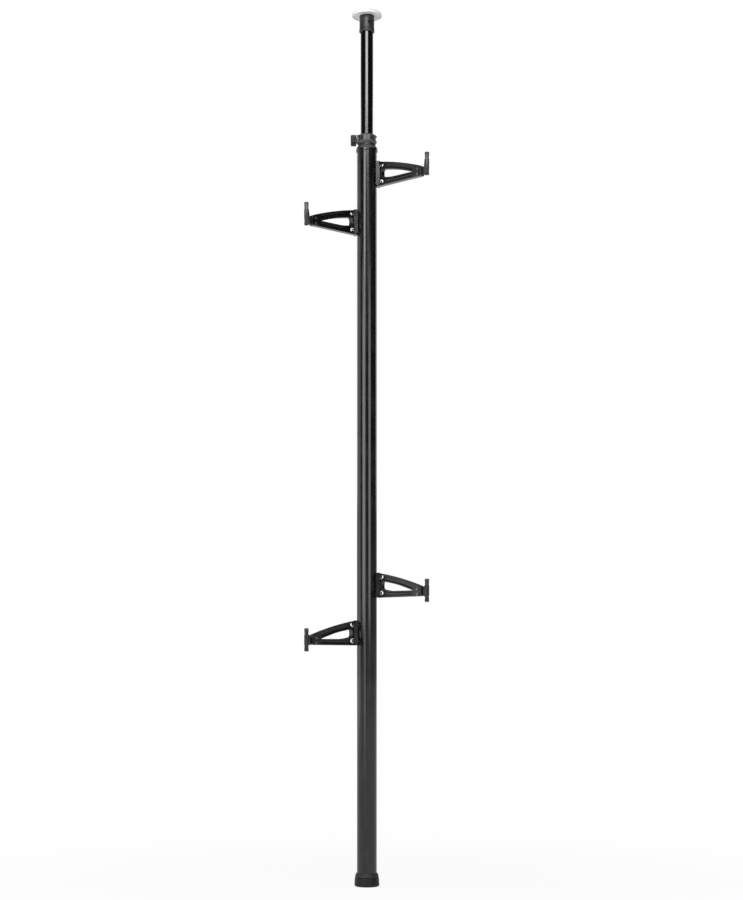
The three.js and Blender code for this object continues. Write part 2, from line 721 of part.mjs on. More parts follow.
function armSlotBar() {
  const outer = slotLipFace - gap;
  const middle = bolt.low + bolt.spread / 2;
  const half = slotBar.length / 2;
  const halfWidth = slot.width / 2 - gap;
  const inner = outer - slotBar.thickness;
  const bar = box([inner, -halfWidth, middle - half], [outer, halfWidth, middle + half]);
  const hole = (level) => rod(bolt.radius + gap, [0, 0, level], [column.radius, 0, level]);
  return cut(bar, ...boltLevels().map(hole));
}

// Cap screw along X: round head with a six-sided socket, its tip short of the slot's floor.
function rootBolt(level) {
  const seat = column.radius + armFlange.thickness + gap;
  const headEnd = seat + bolt.headHeight;
  const tip = slotFloorFace + gap;
  const head = rod(bolt.headRadius, [seat, 0, level], [headEnd, 0, level]);
  const shank = rod(bolt.radius, [tip, 0, level], [seat + gap, 0, level]);
  const keyEnds = [[headEnd - bolt.socketDepth, 0, level], [headEnd + overrun, 0, level]];
  const key = rod(bolt.socket, ...keyEnds, keySides);
  return cut(join(head, shank), key);
}

// Cradle core: tang in the arm's mortise, bent forward into the beam that ends in the stop bar.
function cradleCore() {
  const low = cradle.centre - cradle.height / 2;
  const high = cradle.centre + cradle.height / 2;
  const bend = (cradleOffset - column.radius) / Math.cos(sweep);
  const tangStart = armLength - cradle.tangLength;
  const tang = armSlab(rectangle([tangStart, low], [bend, high]), cradle.tang);
  const [bendX, bendY] = armPoint(bend, 0);
  const elbow = rod(cradle.beam / 2, [bendX, bendY, low], [bendX, bendY, high]);
  const barBack = stopBarFront - stopBar.thickness;
  const half = cradle.beam / 2;
  const beam = box([cradleOffset - half, -barBack - gap, low], [cradleOffset + half, bendY, high]);
  const holes = screwLevels().map((level) => rod(
    cradleScrew.radius + gap,
    armPoint(armLength - cradleScrew.fromTip, level, -arm.width),
    armPoint(armLength - cradleScrew.fromTip, level, arm.width),
  ));
  return cut(join(tang, elbow, beam, cradleStopBar()), ...holes);
}

// Upright stop bar: bowed front in side view, slightly waisted in front view, rounded ends.
function cradleStopBar() {
  const { thickness, height, width, waist, bow, corner } = stopBar;
  const front = stopBarFront;
  const low = cradle.centre - height / 2;
  const high = cradle.centre + height / 2;
  const back = front - thickness;
  const side = new THREE.Shape();
  side.moveTo(back, low + corner);
  side.quadraticCurveTo(back, low, back + corner, low);
  side.lineTo(front - bow - corner, low);
  side.quadraticCurveTo(front - bow, low, front - bow, low + corner);
  side.quadraticCurveTo(front + bow, cradle.centre, front - bow, high - corner);
  side.quadraticCurveTo(front - bow, high, front - bow - corner, high);
  side.lineTo(back + corner, high);
  side.quadraticCurveTo(back, high, back, high - corner);
  const face = new THREE.Shape();
  const [wide, narrow] = [width / 2, waist - width / 2];
  face.moveTo(-wide, low + corner);
  face.quadraticCurveTo(-wide, low, -wide + corner, low);
  face.lineTo(wide - corner, low);
  face.quadraticCurveTo(wide, low, wide, low + corner);
  face.quadraticCurveTo(narrow, cradle.centre, wide, high - corner);
  face.quadraticCurveTo(wide, high, wide - corner, high);
  face.lineTo(-wide + corner, high);
  face.quadraticCurveTo(-wide, high, -wide, high - corner);
  face.quadraticCurveTo(-narrow, cradle.centre, -wide, low + corner);
  const middle = -(front + back) / 2;
  const sideways = slab(side, width, [0, -1, 0], [0, 0, 1], [cradleOffset, 0, 0], edgeSteps);
  const forward = slab(face, 2 * thickness, [1, 0, 0], [0, 0, 1], [cradleOffset, middle, 0], edgeSteps);
  return sideways.intersect(forward);
}

// Soft grip: a sleeve on the beam whose top and bottom sag into a saddle.
function cradleGrip() {
  const end = stopBarFront - stopBar.thickness - gap;
  const half = cradle.height / 2 + gap;
  const low = cradle.centre - half - grip.cover;
  const high = cradle.centre + half + grip.cover;
  const middle = (gripStart + end) / 2;
  const outline = new THREE.Shape();
  outline.moveTo(gripStart, low);
  outline.quadraticCurveTo(middle, low + 2 * grip.sag, end, low);
  outline.lineTo(end, high);
  outline.quadraticCurveTo(middle, high - 2 * grip.sag, gripStart, high);
  const width = cradle.beam + 2 * (gap + grip.side);
  const sleeve = slab(outline, width, [0, -1, 0], [0, 0, 1], [cradleOffset, 0, 0], edgeSteps);
  const inner = cradle.beam / 2 + gap;
  const room = box(
    [cradleOffset - inner, -end - overrun, cradle.centre - half],
    [cradleOffset + inner, -gripStart + overrun, cradle.centre + half],
  );
  return cut(sleeve, room);
}

function tipScrew(level) {
  const u = armLength - cradleScrew.fromTip;
  const face = arm.width / 2 + gap;
  const top = face + cradleScrew.headHeight;
  const tip = gap - arm.width / 2;
  const shank = rod(cradleScrew.radius, armPoint(u, level, tip), armPoint(u, level, face + gap));
  const head = rod(cradleScrew.headRadius, armPoint(u, level, face), armPoint(u, level, top));
  return join(shank, head);
}

// The solids of one right arm, which the left arms mirror.
const armPieces = {
  arm: [armBody(), 'cast'],
  slot_bar: [armSlotBar(), 'zinc'],
  root_bolt_low: [rootBolt(boltLevels()[0]), 'zinc'],
  root_bolt_high: [rootBolt(boltLevels()[1]), 'zinc'],
  cradle: [cradleCore(), 'plastic'],
  cradle_grip: [cradleGrip(), 'rubber'],
  cradle_screw_low: [tipScrew(screwLevels()[0]), 'blackSteel'],
  cradle_screw_high: [tipScrew(screwLevels()[1]), 'blackSteel'],
};

function armGroup(place, height) {
  const group = new THREE.Group();
  const mirrored = place.endsWith('left');
  for (const [name, [body, finish]] of Object.entries(armPieces)) {
    group.add(piece(`${name}_${place}`, body, finish, mirrored));
  }
  group.position.z = height;
  return group;
}

const tower = new THREE.Group();
tower.add(piece('foot_boot', footBoot(), 'rubber'));
tower.add(piece('foot_socket', footSocket(), 'plastic'));
tower.add(piece('outer_column', outerColumn(), 'tube'));
tower.add(piece('column_cap', columnCap(), 'knobPlastic'));
tower.add(piece('clamp_collar', clampCollar(), 'plastic'));
tower.add(piece('clamp_insert', clampInsert(), 'brass'));
tower.add(piece('clamp_shoe', clampShoe(), 'palePlastic'));
tower.add(piece('clamp_stud', clampStud(), 'zinc'));
tower.add(piece('clamp_knob', clampKnob(), 'knobPlastic'));
tower.add(piece('mast_tube', mastTube(), 'tube'));
tower.add(piece('mast_guide', mastLowerGuide(), 'plastic'));
tower.add(piece('spring_seat', mastSpringSeat(), 'plastic'));
tower.add(piece('tension_spring', tensionSpring(), 'blackSteel'));
tower.add(piece('ceiling_stem', ceilingStem(), 'plastic'));
tower.add(piece('ceiling_cup', ceilingCup(), 'knobPlastic'));
tower.add(piece('cup_screw', cupFrontScrew(), 'zinc'));
tower.add(piece('ceiling_plate', ceilingPlate(), 'palePlastic'));
tower.add(piece('plate_screw', ceilingPlateScrew(), 'zinc'));
tower.add(piece('ceiling_pad', ceilingPad(), 'paleRubber'));
for (const [place, share] of Object.entries(armHeightShares)) {
  tower.add(armGroup(place, columnBottom + share * (columnTop - columnBottom)));
}

export default tower;
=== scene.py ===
"""Bike storage tower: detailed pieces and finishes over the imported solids, with camera, floor and lights.

The tower's sizes are in millimetres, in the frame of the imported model, and become metres where a mesh is
made. The studio's sizes are in metres.
"""

from math import asin, atan2, ceil, copysign, cos, dist, pi, radians, sin, sqrt, tan
from types import SimpleNamespace as Sizes

import bmesh
import bpy
import numpy as np
from mathutils import Matrix, Vector
from mathutils.geometry import delaunay_2d_cdt


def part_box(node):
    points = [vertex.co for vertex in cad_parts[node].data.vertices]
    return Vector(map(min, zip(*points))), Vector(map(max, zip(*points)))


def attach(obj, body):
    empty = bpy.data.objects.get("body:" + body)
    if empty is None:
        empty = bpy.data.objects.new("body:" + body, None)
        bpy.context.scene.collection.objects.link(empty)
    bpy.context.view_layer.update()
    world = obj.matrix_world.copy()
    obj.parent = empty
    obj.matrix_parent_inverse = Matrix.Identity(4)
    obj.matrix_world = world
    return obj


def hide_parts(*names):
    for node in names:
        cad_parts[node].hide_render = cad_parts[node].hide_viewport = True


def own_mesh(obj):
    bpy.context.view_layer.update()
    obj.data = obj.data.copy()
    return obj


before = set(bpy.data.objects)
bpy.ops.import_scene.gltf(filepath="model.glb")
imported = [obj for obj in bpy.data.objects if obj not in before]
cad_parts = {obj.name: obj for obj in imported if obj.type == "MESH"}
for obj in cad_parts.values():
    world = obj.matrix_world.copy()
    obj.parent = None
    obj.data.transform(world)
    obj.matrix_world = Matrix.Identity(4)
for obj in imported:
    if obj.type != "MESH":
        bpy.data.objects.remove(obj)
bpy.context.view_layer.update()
scene = bpy.context.scene

MM = 0.001
GAP = 0.3
OVERRUN, OVERLAP = 5, 1
WELD = 0.002

# Edge roundings that most pieces share, and the facets of round pieces.
CRISP, FINE, FIRM, SOFT, ROUND = 0.2, 0.3, 0.5, 0.6, 1.2
UPRIGHT_ROUND_SHARE = 1.6
ROUND_SIDES, SMALL_SIDES = 128, 40

# Foot, column, mast and cap.
BOOT = Sizes(radius=35.2, top_radius=33.8, wall=3, floor=4, corner=5, top_round=2.2)
BOOT_GROOVES = (8, 15, 22)
SOCKET = Sizes(top=38, shoulder=33.3, lip=1.1, bulge=1, floor=4, spigot=18, bore=15)
SOCKET_ROUND = Sizes(shoulder=1.6, bulge=8)
COLUMN = Sizes(radius=28, wall=2.4, sides=192)
SLOT = Sizes(mouth=8.4, lip=2.4, width=15, depth=5.2, wall=1.8, wall_round=1)
MAST = Sizes(radius=17.25, wall=2)
CAP = Sizes(lip=30, shoulder=28.2, waist=24.8, neck=24.2, skirt=9.1, lip_round=1.3)
CAP_STEPS = Sizes(lip=6.5, shoulder=6, slope=3.5, neck=5.9)

# Clamp collar and knob.
COLLAR = Sizes(flange=28.2, groove=23.4, rim=19.5, groove_round=4, sides=96)
COLLAR_LEVELS = Sizes(lower=6, middle=14.5, upper=21.6)
COLLAR_BOSS = Sizes(width=20, face=27.2, round=1)
COLLAR_RIB = Sizes(width=3, turns=(132, 48, -48, -132))
LUG = Sizes(reach=28.4, width=22, bottom=2, height=22.6, corner=3)
INSERT = Sizes(radius=6.3, inner=20.8)
SHOE_ROOM = 5.3
KNOB = Sizes(radius=15.6, hub=9, hub_length=1, lobes=9, depth=1.5, corner=3, sides=64)
HOLLOW_POWER = 2.2
KNOB_DISH = Sizes(radius=8.2, mouth=8.8, depth=1)
STUD_ROOM = Sizes(radius=4.3, depth=9.3)

# Ceiling end.
CUP = Sizes(radius=20.5, flare=21.4, foot=5, flare_height=12, roof=3, screw_turn=17)
CUP_ROUND = Sizes(mouth=2.2, foot=3, neck=6)
SCREW_ROOM = 2.3
PLATE = Sizes(radius=41.5, lip=2, lip_slope=1.2, lip_drop=1.5, bore=3.3)
PLATE_ROUND = Sizes(lip=0.7, top=1)
PLATE_RING = Sizes(radius=24, step=0.5, slope=1)
PAD_GROOVES = (10, 16, 22, 28, 34)
GROOVE = Sizes(half_mouth=1.2, half_floor=0.8, depth=0.5)
SPRING = Sizes(radius=12.05, wire=1.6, turns=9, travel=12)

# Arm, in its own frame: u runs along the truss from the column's side, z up from its bottom edge.
SWEEP = radians(43)
ARM_REACH = 125
ARM_LENGTH = ARM_REACH / cos(SWEEP)
ARM = Sizes(root=70, shoulder=56.5, tip=26.8, width=15, web=5, shift=2)
ARM_RIM = Sizes(outer=5, window=4)
ARM_CORNER = Sizes(root=8, tip=6)
ARM_TIP_BLOCK = 32
FLANGE = Sizes(thickness=8.5, depth=26, chamfer=2, corner=1.4, edge=0.9, seat_sides=160)
WINDOW_REACH_SHARES = [0.135, 0.135, 0.335, 0.82, 0.48]
WINDOW_HEIGHT_SHARES = [0.655, 0.335, 0.25, 0.24, 0.5]
WINDOW_ROUND = [9, 8, 12, 6, 20]
RELIEF = Sizes(edge=0.9, brim=0.8, draft=0.6, toe=1.4)
OUTLINE_SPACING, GRID_SPACING, ROW_ERROR = 1.3, 4.6, 0.03
BOLT_LEVELS = (13, 58)
BOLT = Sizes(radius=3, head=5, height=6, key=2.5, key_depth=3)
BOLT_WINDOW = Sizes(radius=6.2, beyond=3.3, floor=-4, head_room=0.6, sides=56)

# Cradle at the arm's end: tang, beam, stop bar, grip and screws.
CRADLE = Sizes(centre=12.8, height=20, tang=5, tang_length=23.7, beam=8, in_bar=2)
CRADLE_ROUND = Sizes(tang=0.4, beam=0.8, elbow_sides=48)
CRADLE_OFFSET = COLUMN.radius + ARM_REACH + 9
END_FORWARD = ARM_REACH * tan(SWEEP) - ARM.shift
STOP = Sizes(front=END_FORWARD + 82.4, thickness=12, height=63, width=13, waist=10)
STOP_ROUND = Sizes(bow=2.5, corner=4)
GRIP = Sizes(start=END_FORWARD + 15.4, side=2.2, cover=4.3, sag=1.8, round=1.6)
TIP_SCREW = Sizes(radius=2.5, head=4.3, height=2.6, key=1.5, key_depth=1.5)
TIP_SCREW_FROM_END, TIP_SCREW_LEVELS = 12, (5.8, 19.8)
SCREW_POINT = Sizes(depth=0.5, round=0.1)
SCREW_MOUTH = Sizes(depth=0.4, proud=0.1, low_share=1.02, high_share=1.3)
CROWN_SHARE = 0.2

# Camera of the photograph: its picture size, place, lens and the row of its horizon.
PHOTO_WIDTH, PHOTO_HEIGHT = 743, 900
CAMERA_PLACE = (0.0129, -5.030, 0.610)
CAMERA_LENS, CAMERA_SENSOR = 72, 36
HORIZON_ROW = 668

# Lamps: azimuth in degrees from the camera's side, positive to the right, distance from the tower's axis,
# height of the middle, height aimed at, width and height, and radiance.
LAMPS = {
    "high": (-3, 6.0, 4.52, 1.8, (4.5, 1.1), 14.5),
    "upper": (-26, 6.0, 3.45, 1.8, (2.0, 0.8), 8.0),
    "upper_right": (14, 6.0, 3.45, 1.8, (2.4, 0.7), 1.3),
    "left": (-35, 6.0, 1.95, 1.6, (3.6, 2.1), 4.3),
    "right": (31, 6.0, 1.95, 1.6, (2.6, 2.1), 3.4),
    "low": (-23, 6.0, 0.5, 0.5, (1.7, 0.7), 1.8),
    "side": (-98, 4.0, 1.75, 1.5, (3.2, 2.9), 1.1),
    "overhead": (0, 0.6, 5.6, 0.0, (5.0, 5.0), 1.2),
    "back_left": (-140, 5.0, 2.6, 1.2, (0.9, 2.2), 3.0),
    "back_right": (135, 5.0, 2.6, 1.2, (0.9, 2.2), 3.0),
}

# World: its even light, and how bright glosses see it over stretches of a ray's direction.
DIM_LIGHT = 0.12
BEHIND, FAR_BEHIND, BELOW = (0.25, 0.6, 0.04, 0.36), (0.7, 1.0, 1.0, 0.2), (0.12, 0.02, 0.0, 0.4)

# Floor: half its width, its tone, and how far it is lost in the white over a distance from the tower.
FLOOR_HALF, FLOOR_TONE, FLOOR_ROUGHNESS = 40, (0.88, 0.88, 0.88), 0.9
FLOOR_FADE = (0.3, 2.0, 0.88, 1.0)


# Places.

def spun(degrees, axis):
    return Matrix.Rotation(radians(degrees), 4, axis)


def moved(x=0.0, y=0.0, z=0.0):
    return Matrix.Translation((x * MM, y * MM, z * MM))


ARM_PLACE = moved(COLUMN.radius, ARM.shift) @ Matrix.Rotation(-SWEEP, 4, "Z")

# Turns free of rounding. SIDEWAYS also mirrors, which turns the faces of what it places inwards.
UPRIGHT = Matrix(((1, 0, 0, 0), (0, 0, -1, 0), (0, 1, 0, 0), (0, 0, 0, 1)))
SIDEWAYS = Matrix(((0, 0, 1, 0), (-1, 0, 0, 0), (0, 1, 0, 0), (0, 0, 0, 1)))
TO_THE_LEFT = Matrix.Diagonal((-1, -1, 1, 1))


def linked(name, data):
    """New object in the scene."""
    obj = bpy.data.objects.new(name, data)
    scene.collection.objects.link(obj)
    return obj


# Outlines in the plane.

def parabola(start, corner, end, steps=8):
    a, b, c = Vector(start), Vector(corner), Vector(end)
    shares = [k / steps for k in range(steps + 1)]
    return [tuple(a * (1 - t) ** 2 + b * (2 * t * (1 - t)) + c * t ** 2) for t in shares]


def arcs(corners, steps=5):
    """Closed outline from (x, y, radius) corners, each rounded by a true arc."""
    points = []
    for i, (x, y, radius) in enumerate(corners):
        here = Vector((x, y))
        if radius <= 0:
            points.append((x, y))
            continue
        before = (Vector(corners[i - 1][:2]) - here).normalized()
        after = (Vector(corners[(i + 1) % len(corners)][:2]) - here).normalized()
        half = before.angle(after) / 2
        centre = here + (before + after).normalized() * (radius / sin(half))
        start, end = (here + way * (radius / tan(half)) - centre for way in (before, after))
        first = atan2(start.y, start.x)
        turn = (atan2(end.y, end.x) - first + pi) % (2 * pi) - pi
        for k in range(steps + 1):
            angle = first + turn * k / steps
            points.append(tuple(centre + Vector((cos(angle), sin(angle))) * radius))
    return points


def softened(corners, setbacks, steps=12):
    """Closed outline whose corners are rounded by a parabola over a setback on each side."""
    points = []
    for i, (corner, setback) in enumerate(zip(corners, setbacks)):
        here, before, after = (Vector(corners[k % len(corners)]) for k in (i, i - 1, i + 1))
        start = here + (before - here).normalized() * setback
        end = here + (after - here).normalized() * setback
        points += parabola(start, corner, end, steps)
    return points


def rectangle(low, high, rounding):
    """Corners of an upright box's outline, for arcs."""
    (left, front), (right, back) = low[:2], high[:2]
    return [(x, y, rounding) for x, y in ((left, front), (right, front), (right, back), (left, back))]


def circle(radius, sides):
    turns = [2 * pi * k / sides for k in range(sides)]
    return [(radius * cos(t), radius * sin(t)) for t in turns]


def grooves(radii, level, depth):
    """Profile corners of round grooves in a flat face, from the axis outwards."""
    corners = []
    for radius in radii:
        mouth, floor = GROOVE.half_mouth, GROOVE.half_floor
        corners += [(radius - mouth, level, CRISP), (radius - floor, level + depth, CRISP),
                    (radius + floor, level + depth, CRISP), (radius + mouth, level, CRISP)]
    return corners


def divided(loop, spacing):
    """The closed outline with points added, so that none of its edges is longer than the spacing."""
    points = []
    for start, end in zip(loop, loop[1:] + loop[:1]):
        length = dist(start, end)
        if length < WELD:
            continue
        count = max(1, ceil(length / spacing))
        points += [tuple(a + (b - a) * k / count for a, b in zip(start, end)) for k in range(count)]
    return points


def oriented(loop, counter_clockwise):
    loop = [tuple(p) for p in loop]
    area = sum(a[0] * b[1] - b[0] * a[1] for a, b in zip(loop, loop[1:] + loop[:1]))
    return loop if (area > 0) == counter_clockwise else loop[::-1]


def inset(loop, distance):
    """The outline moved to its left by a distance, mitred at its corners."""
    here = np.array(loop, float)
    normals = []
    for edge in (here - np.roll(here, 1, 0), np.roll(here, -1, 0) - here):
        edge = edge / np.maximum(np.linalg.norm(edge, axis=1), 1e-9)[:, None]
        normals.append(np.stack([-edge[:, 1], edge[:, 0]], 1))
    middle = normals[0] + normals[1]
    middle /= np.maximum(np.linalg.norm(middle, axis=1), 1e-9)[:, None]
    stretch = 1 / np.maximum((middle * normals[0]).sum(1), 0.4)
    return here + middle * (distance * stretch)[:, None]


def inside(points, loops):
    """Which points lie inside an odd number of the outlines."""
    found = np.zeros(len(points), bool)
    x, y = points[:, 0], points[:, 1]
    for loop in loops:
        ends = np.array(loop, float)
        for (x0, y0), (x1, y1) in zip(np.roll(ends, 1, 0), ends):
            if y0 != y1:
                crosses = (y0 > y) != (y1 > y)
                found ^= crosses & (x < (x1 - x0) * (y - y0) / (y1 - y0) + x0)
    return found


def ring_edges(loops):
    edges, first = [], 0
    for loop in loops:
        edges += [(first + k, first + (k + 1) % len(loop)) for k in range(len(loop))]
        first += len(loop)
    return edges


def triangulated(points, edges, loops):
    """Spots and triangles of the region between the outlines, and the spot that each point became.

    The points start with those of the outlines. The region grows from its largest triangle up to them.
    """
    made = delaunay_2d_cdt([Vector(p) for p in points], edges, [], 0, 1e-6, True)
    spots = np.array([tuple(p) for p in made[0]])
    triangles = np.array([list(face) for face in made[2]])
    spot_of = {source: k for k, sources in enumerate(made[3]) for source in sources}
    walls = {frozenset((spot_of[a], spot_of[b])) for a, b in ring_edges(loops)}
    beside = {}
    for k, face in enumerate(triangles.tolist()):
        for side in zip(face, face[1:] + face[:1]):
            beside.setdefault(frozenset(side), []).append(k)
    a, b, c = (spots[triangles[:, k]] for k in range(3))
    areas = np.abs((b - a)[:, 0] * (c - a)[:, 1] - (b - a)[:, 1] * (c - a)[:, 0])
    front = [int(np.argmax(areas * inside((a + b + c) / 3, loops)))]
    reached = set(front)
    while front:
        face = triangles[front.pop()].tolist()
        for side in map(frozenset, zip(face, face[1:] + face[:1])):
            if side not in walls:
                found = set(beside[side]) - reached
                front += found
                reached |= found
    return spots, triangles[sorted(reached)], spot_of


# Solids.

def solid(name, points, faces, matrix=Matrix()):
    """Object of a closed mesh, from points in millimetres."""
    mesh = bpy.data.meshes.new(name)
    mesh.from_pydata([Vector(p) * MM for p in points], [], faces)
    work = bmesh.new()
    work.from_mesh(mesh)
    bmesh.ops.remove_doubles(work, verts=work.verts, dist=WELD * MM)
    bmesh.ops.recalc_face_normals(work, faces=work.faces)
    if not all(edge.is_manifold for edge in work.edges):
        raise ValueError(f"{name} is not closed")
    work.to_mesh(mesh)
    work.free()
    mesh.transform(matrix)
    return linked(name, mesh)


def lofted(name, rings):
    """Solid through rings of as many points each, closed at both ends."""
    sides, last = len(rings[0]), (len(rings) - 1) * len(rings[0])
    faces = [list(range(sides)), list(range(last, last + sides))]
    for first in range(0, last, sides):
        for i in range(sides):
            a, b = first + i, first + (i + 1) % sides
            faces.append([a, b, b + sides, a + sides])
    return solid(name, [point for ring in rings for point in ring], faces)


def turned(name, corners, sides=ROUND_SIDES, matrix=Matrix()):
    """Solid of revolution about Z from closed (radius, height, rounding) corners, also on the axis."""
    points, rings = [], []
    for radius, height in arcs(corners):
        if radius < WELD:
            rings.append([len(points)] * sides)
            points.append((0, 0, height))
        else:
            rings.append(range(len(points), len(points) + sides))
            points += [(x, y, height) for x, y in circle(radius, sides)]
    faces = []
    for ring, above in zip(rings, rings[1:] + rings[:1]):
        for k in range(sides):
            after = (k + 1) % sides
            face = list(dict.fromkeys([ring[k], ring[after], above[after], above[k]]))
            if len(face) > 2:
                faces.append(face)
    return solid(name, points, faces, matrix)


def drum(name, radius, low, high, sides=SMALL_SIDES, matrix=Matrix()):
    """Plain cylinder on the Z axis, for cuts and cores."""
    return turned(name, [(0, low, 0), (radius, low, 0), (radius, high, 0), (0, high, 0)], sides, matrix)


def rod(name, radius, start, end, sides=SMALL_SIDES, matrix=Matrix()):
    start, way = Vector(start), Vector(end) - Vector(start)
    turn = way.to_track_quat("Z", "Y").to_matrix().to_4x4()
    return drum(name, radius, 0, way.length, sides, matrix @ Matrix.Translation(start * MM) @ turn)


def prism(name, loops, low, high, rounds, matrix=Matrix(), steps=4):
    """Solid between two levels from an outer outline and its holes, with rounded edges at both ends."""
    loops = [oriented(loop, k == 0) for k, loop in enumerate(loops)]
    turns = [pi / 2 * k / steps for k in range(steps + 1)]
    rises = [(1 - sin(t), 1 - cos(t)) for t in turns]
    levels = [(low + rounds[0] * rise, rounds[0] * within) for rise, within in reversed(rises)]
    levels += [(high - rounds[1] * rise, rounds[1] * within) for rise, within in rises]
    edges = ring_edges(loops)
    count = len(edges)
    points, faces = [], []
    for level, distance in levels:
        for loop in loops:
            points += [(x, y, level) for x, y in inset(loop, distance)]
    for first in range(0, count * (len(levels) - 1), count):
        faces += [[first + a, first + b, first + b + count, first + a + count] for a, b in edges]
    for k in (0, len(levels) - 1):
        ends = [[tuple(p) for p in inset(loop, levels[k][1])] for loop in loops]
        _, triangles, spot_of = triangulated([p for loop in ends for p in loop], edges, ends)
        source_of = {spot: source for source, spot in reversed(spot_of.items())}
        faces += [[k * count + source_of[i] for i in face] for face in triangles.tolist()]
    return solid(name, points, faces, matrix)


def block(name, low, high, rounding=0.0, matrix=Matrix()):
    """Box whose edges are rounded; its upright edges a little more than the others."""
    outline = arcs(rectangle(low, high, rounding * UPRIGHT_ROUND_SHARE), 4)
    return prism(name, [outline], low[2], high[2], (rounding, rounding), matrix)


def shaped(obj, operation, tools):
    """Cuts or joins the object with tools, one after the other, and removes them."""
    for tool in tools:
        modifier = obj.modifiers.new("shape", "BOOLEAN")
        modifier.object = tool
        modifier.operation = operation
        modifier.solver = "MANIFOLD"
        graph = bpy.context.evaluated_depsgraph_get()
        obj.data = bpy.data.meshes.new_from_object(obj.evaluated_get(graph))
        obj.modifiers.clear()
        bpy.data.objects.remove(tool)


def cut(obj, *tools):
    shaped(obj, "DIFFERENCE", tools)


def join(obj, *tools):
    shaped(obj, "UNION", tools)


def edge_weights(obj):
    """Point attribute that is 1 on outer edges and 0 on flats and hollows, for wear in the finish."""
    threshold, span = radians(8), radians(22)
    work = bmesh.new()
    work.from_mesh(obj.data)
    bends = [
        max((edge.calc_face_angle_signed(0) for edge in vertex.link_edges if edge.is_manifold), default=0)
        for vertex in work.verts
    ]
    work.free()
    weights = np.clip((np.array(bends) - threshold) / span, 0, 1).astype(np.float32)
    obj.data.attributes.new("edge", "FLOAT", "POINT").data.foreach_set("value", weights)


def dressed(obj, body, node, slot, finish=None, sharp=34):
    """Gives a piece its finish and shading, and has it ride on a body in place of the node's solid."""
    edge_weights(obj)
    obj.data.materials.clear()
    obj.data.materials.append(FINISHES[finish or slot])
    obj.data.shade_smooth()
    obj.data.set_sharp_from_angle(angle=radians(sharp))
    obj.modifiers.new("flat_faces", "WEIGHTED_NORMAL").keep_sharp = True
    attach(obj, body)
    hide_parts(node)


def box_mm(node):
    low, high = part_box(node)
    return low / MM, high / MM


# Shader nodes.

class Nodes:
    """Adds nodes to the shader tree of a material or world."""

    def __init__(self, owner):
        owner.use_nodes = True
        self.tree = owner.node_tree

    def give(self, socket, value):
        """Sets a socket to a value, or links it to the output of a node."""
        if isinstance(value, bpy.types.NodeSocket):
            self.tree.links.new(value, socket)
        else:
            socket.default_value = (*value, 1) if socket.type == "RGBA" else value

    def add(self, kind, inputs=None, **settings):
        made = self.tree.nodes.new("ShaderNode" + kind)
        for key, value in settings.items():
            setattr(made, key, value)
        for key, value in (inputs or {}).items():
            self.give(made.inputs[key], value)
        return made

    def maths(self, operation, first, second):
        return self.add("Math", {0: first, 1: second}, operation=operation).outputs[0]

    def times(self, first, second):
        return self.maths("MULTIPLY", first, second)

    def ranged(self, value, low, high, to_low=0.0, to_high=1.0, shape="LINEAR"):
        """A value taken from one stretch to another, and held at its ends."""
        inputs = {"Value": value, "From Min": low, "From Max": high, "To Min": to_low, "To Max": to_high}
        return self.add("MapRange", inputs, interpolation_type=shape).outputs["Result"]

    def mixed(self, share, first, second):
        return self.add("Mix", {0: share, 6: first, 7: second}, data_type="RGBA").outputs[2]

    def parts(self, vector):
        return self.add("SeparateXYZ", {0: vector}).outputs

    def length(self, vector):
        return self.add("VectorMath", {0: vector}, operation="LENGTH").outputs["Value"]

    def rays(self):
        """Whether a ray is the camera's, and whether a gloss or a clear piece sends it."""
        path = self.add("LightPath").outputs
        mirrored = self.maths("MAXIMUM", path["Is Glossy Ray"], path["Is Transmission Ray"])
        return path["Is Camera Ray"], mirrored


# Stretches of a noise's values over which gloss, tone, rubbing and wear change.
GLOSS_SPREAD, TONE_SPREAD, RUB_SPREAD, WEAR_SPREAD = (0.35, 0.7), (0.3, 0.7), (0.55, 0.75), (0.42, 0.72)


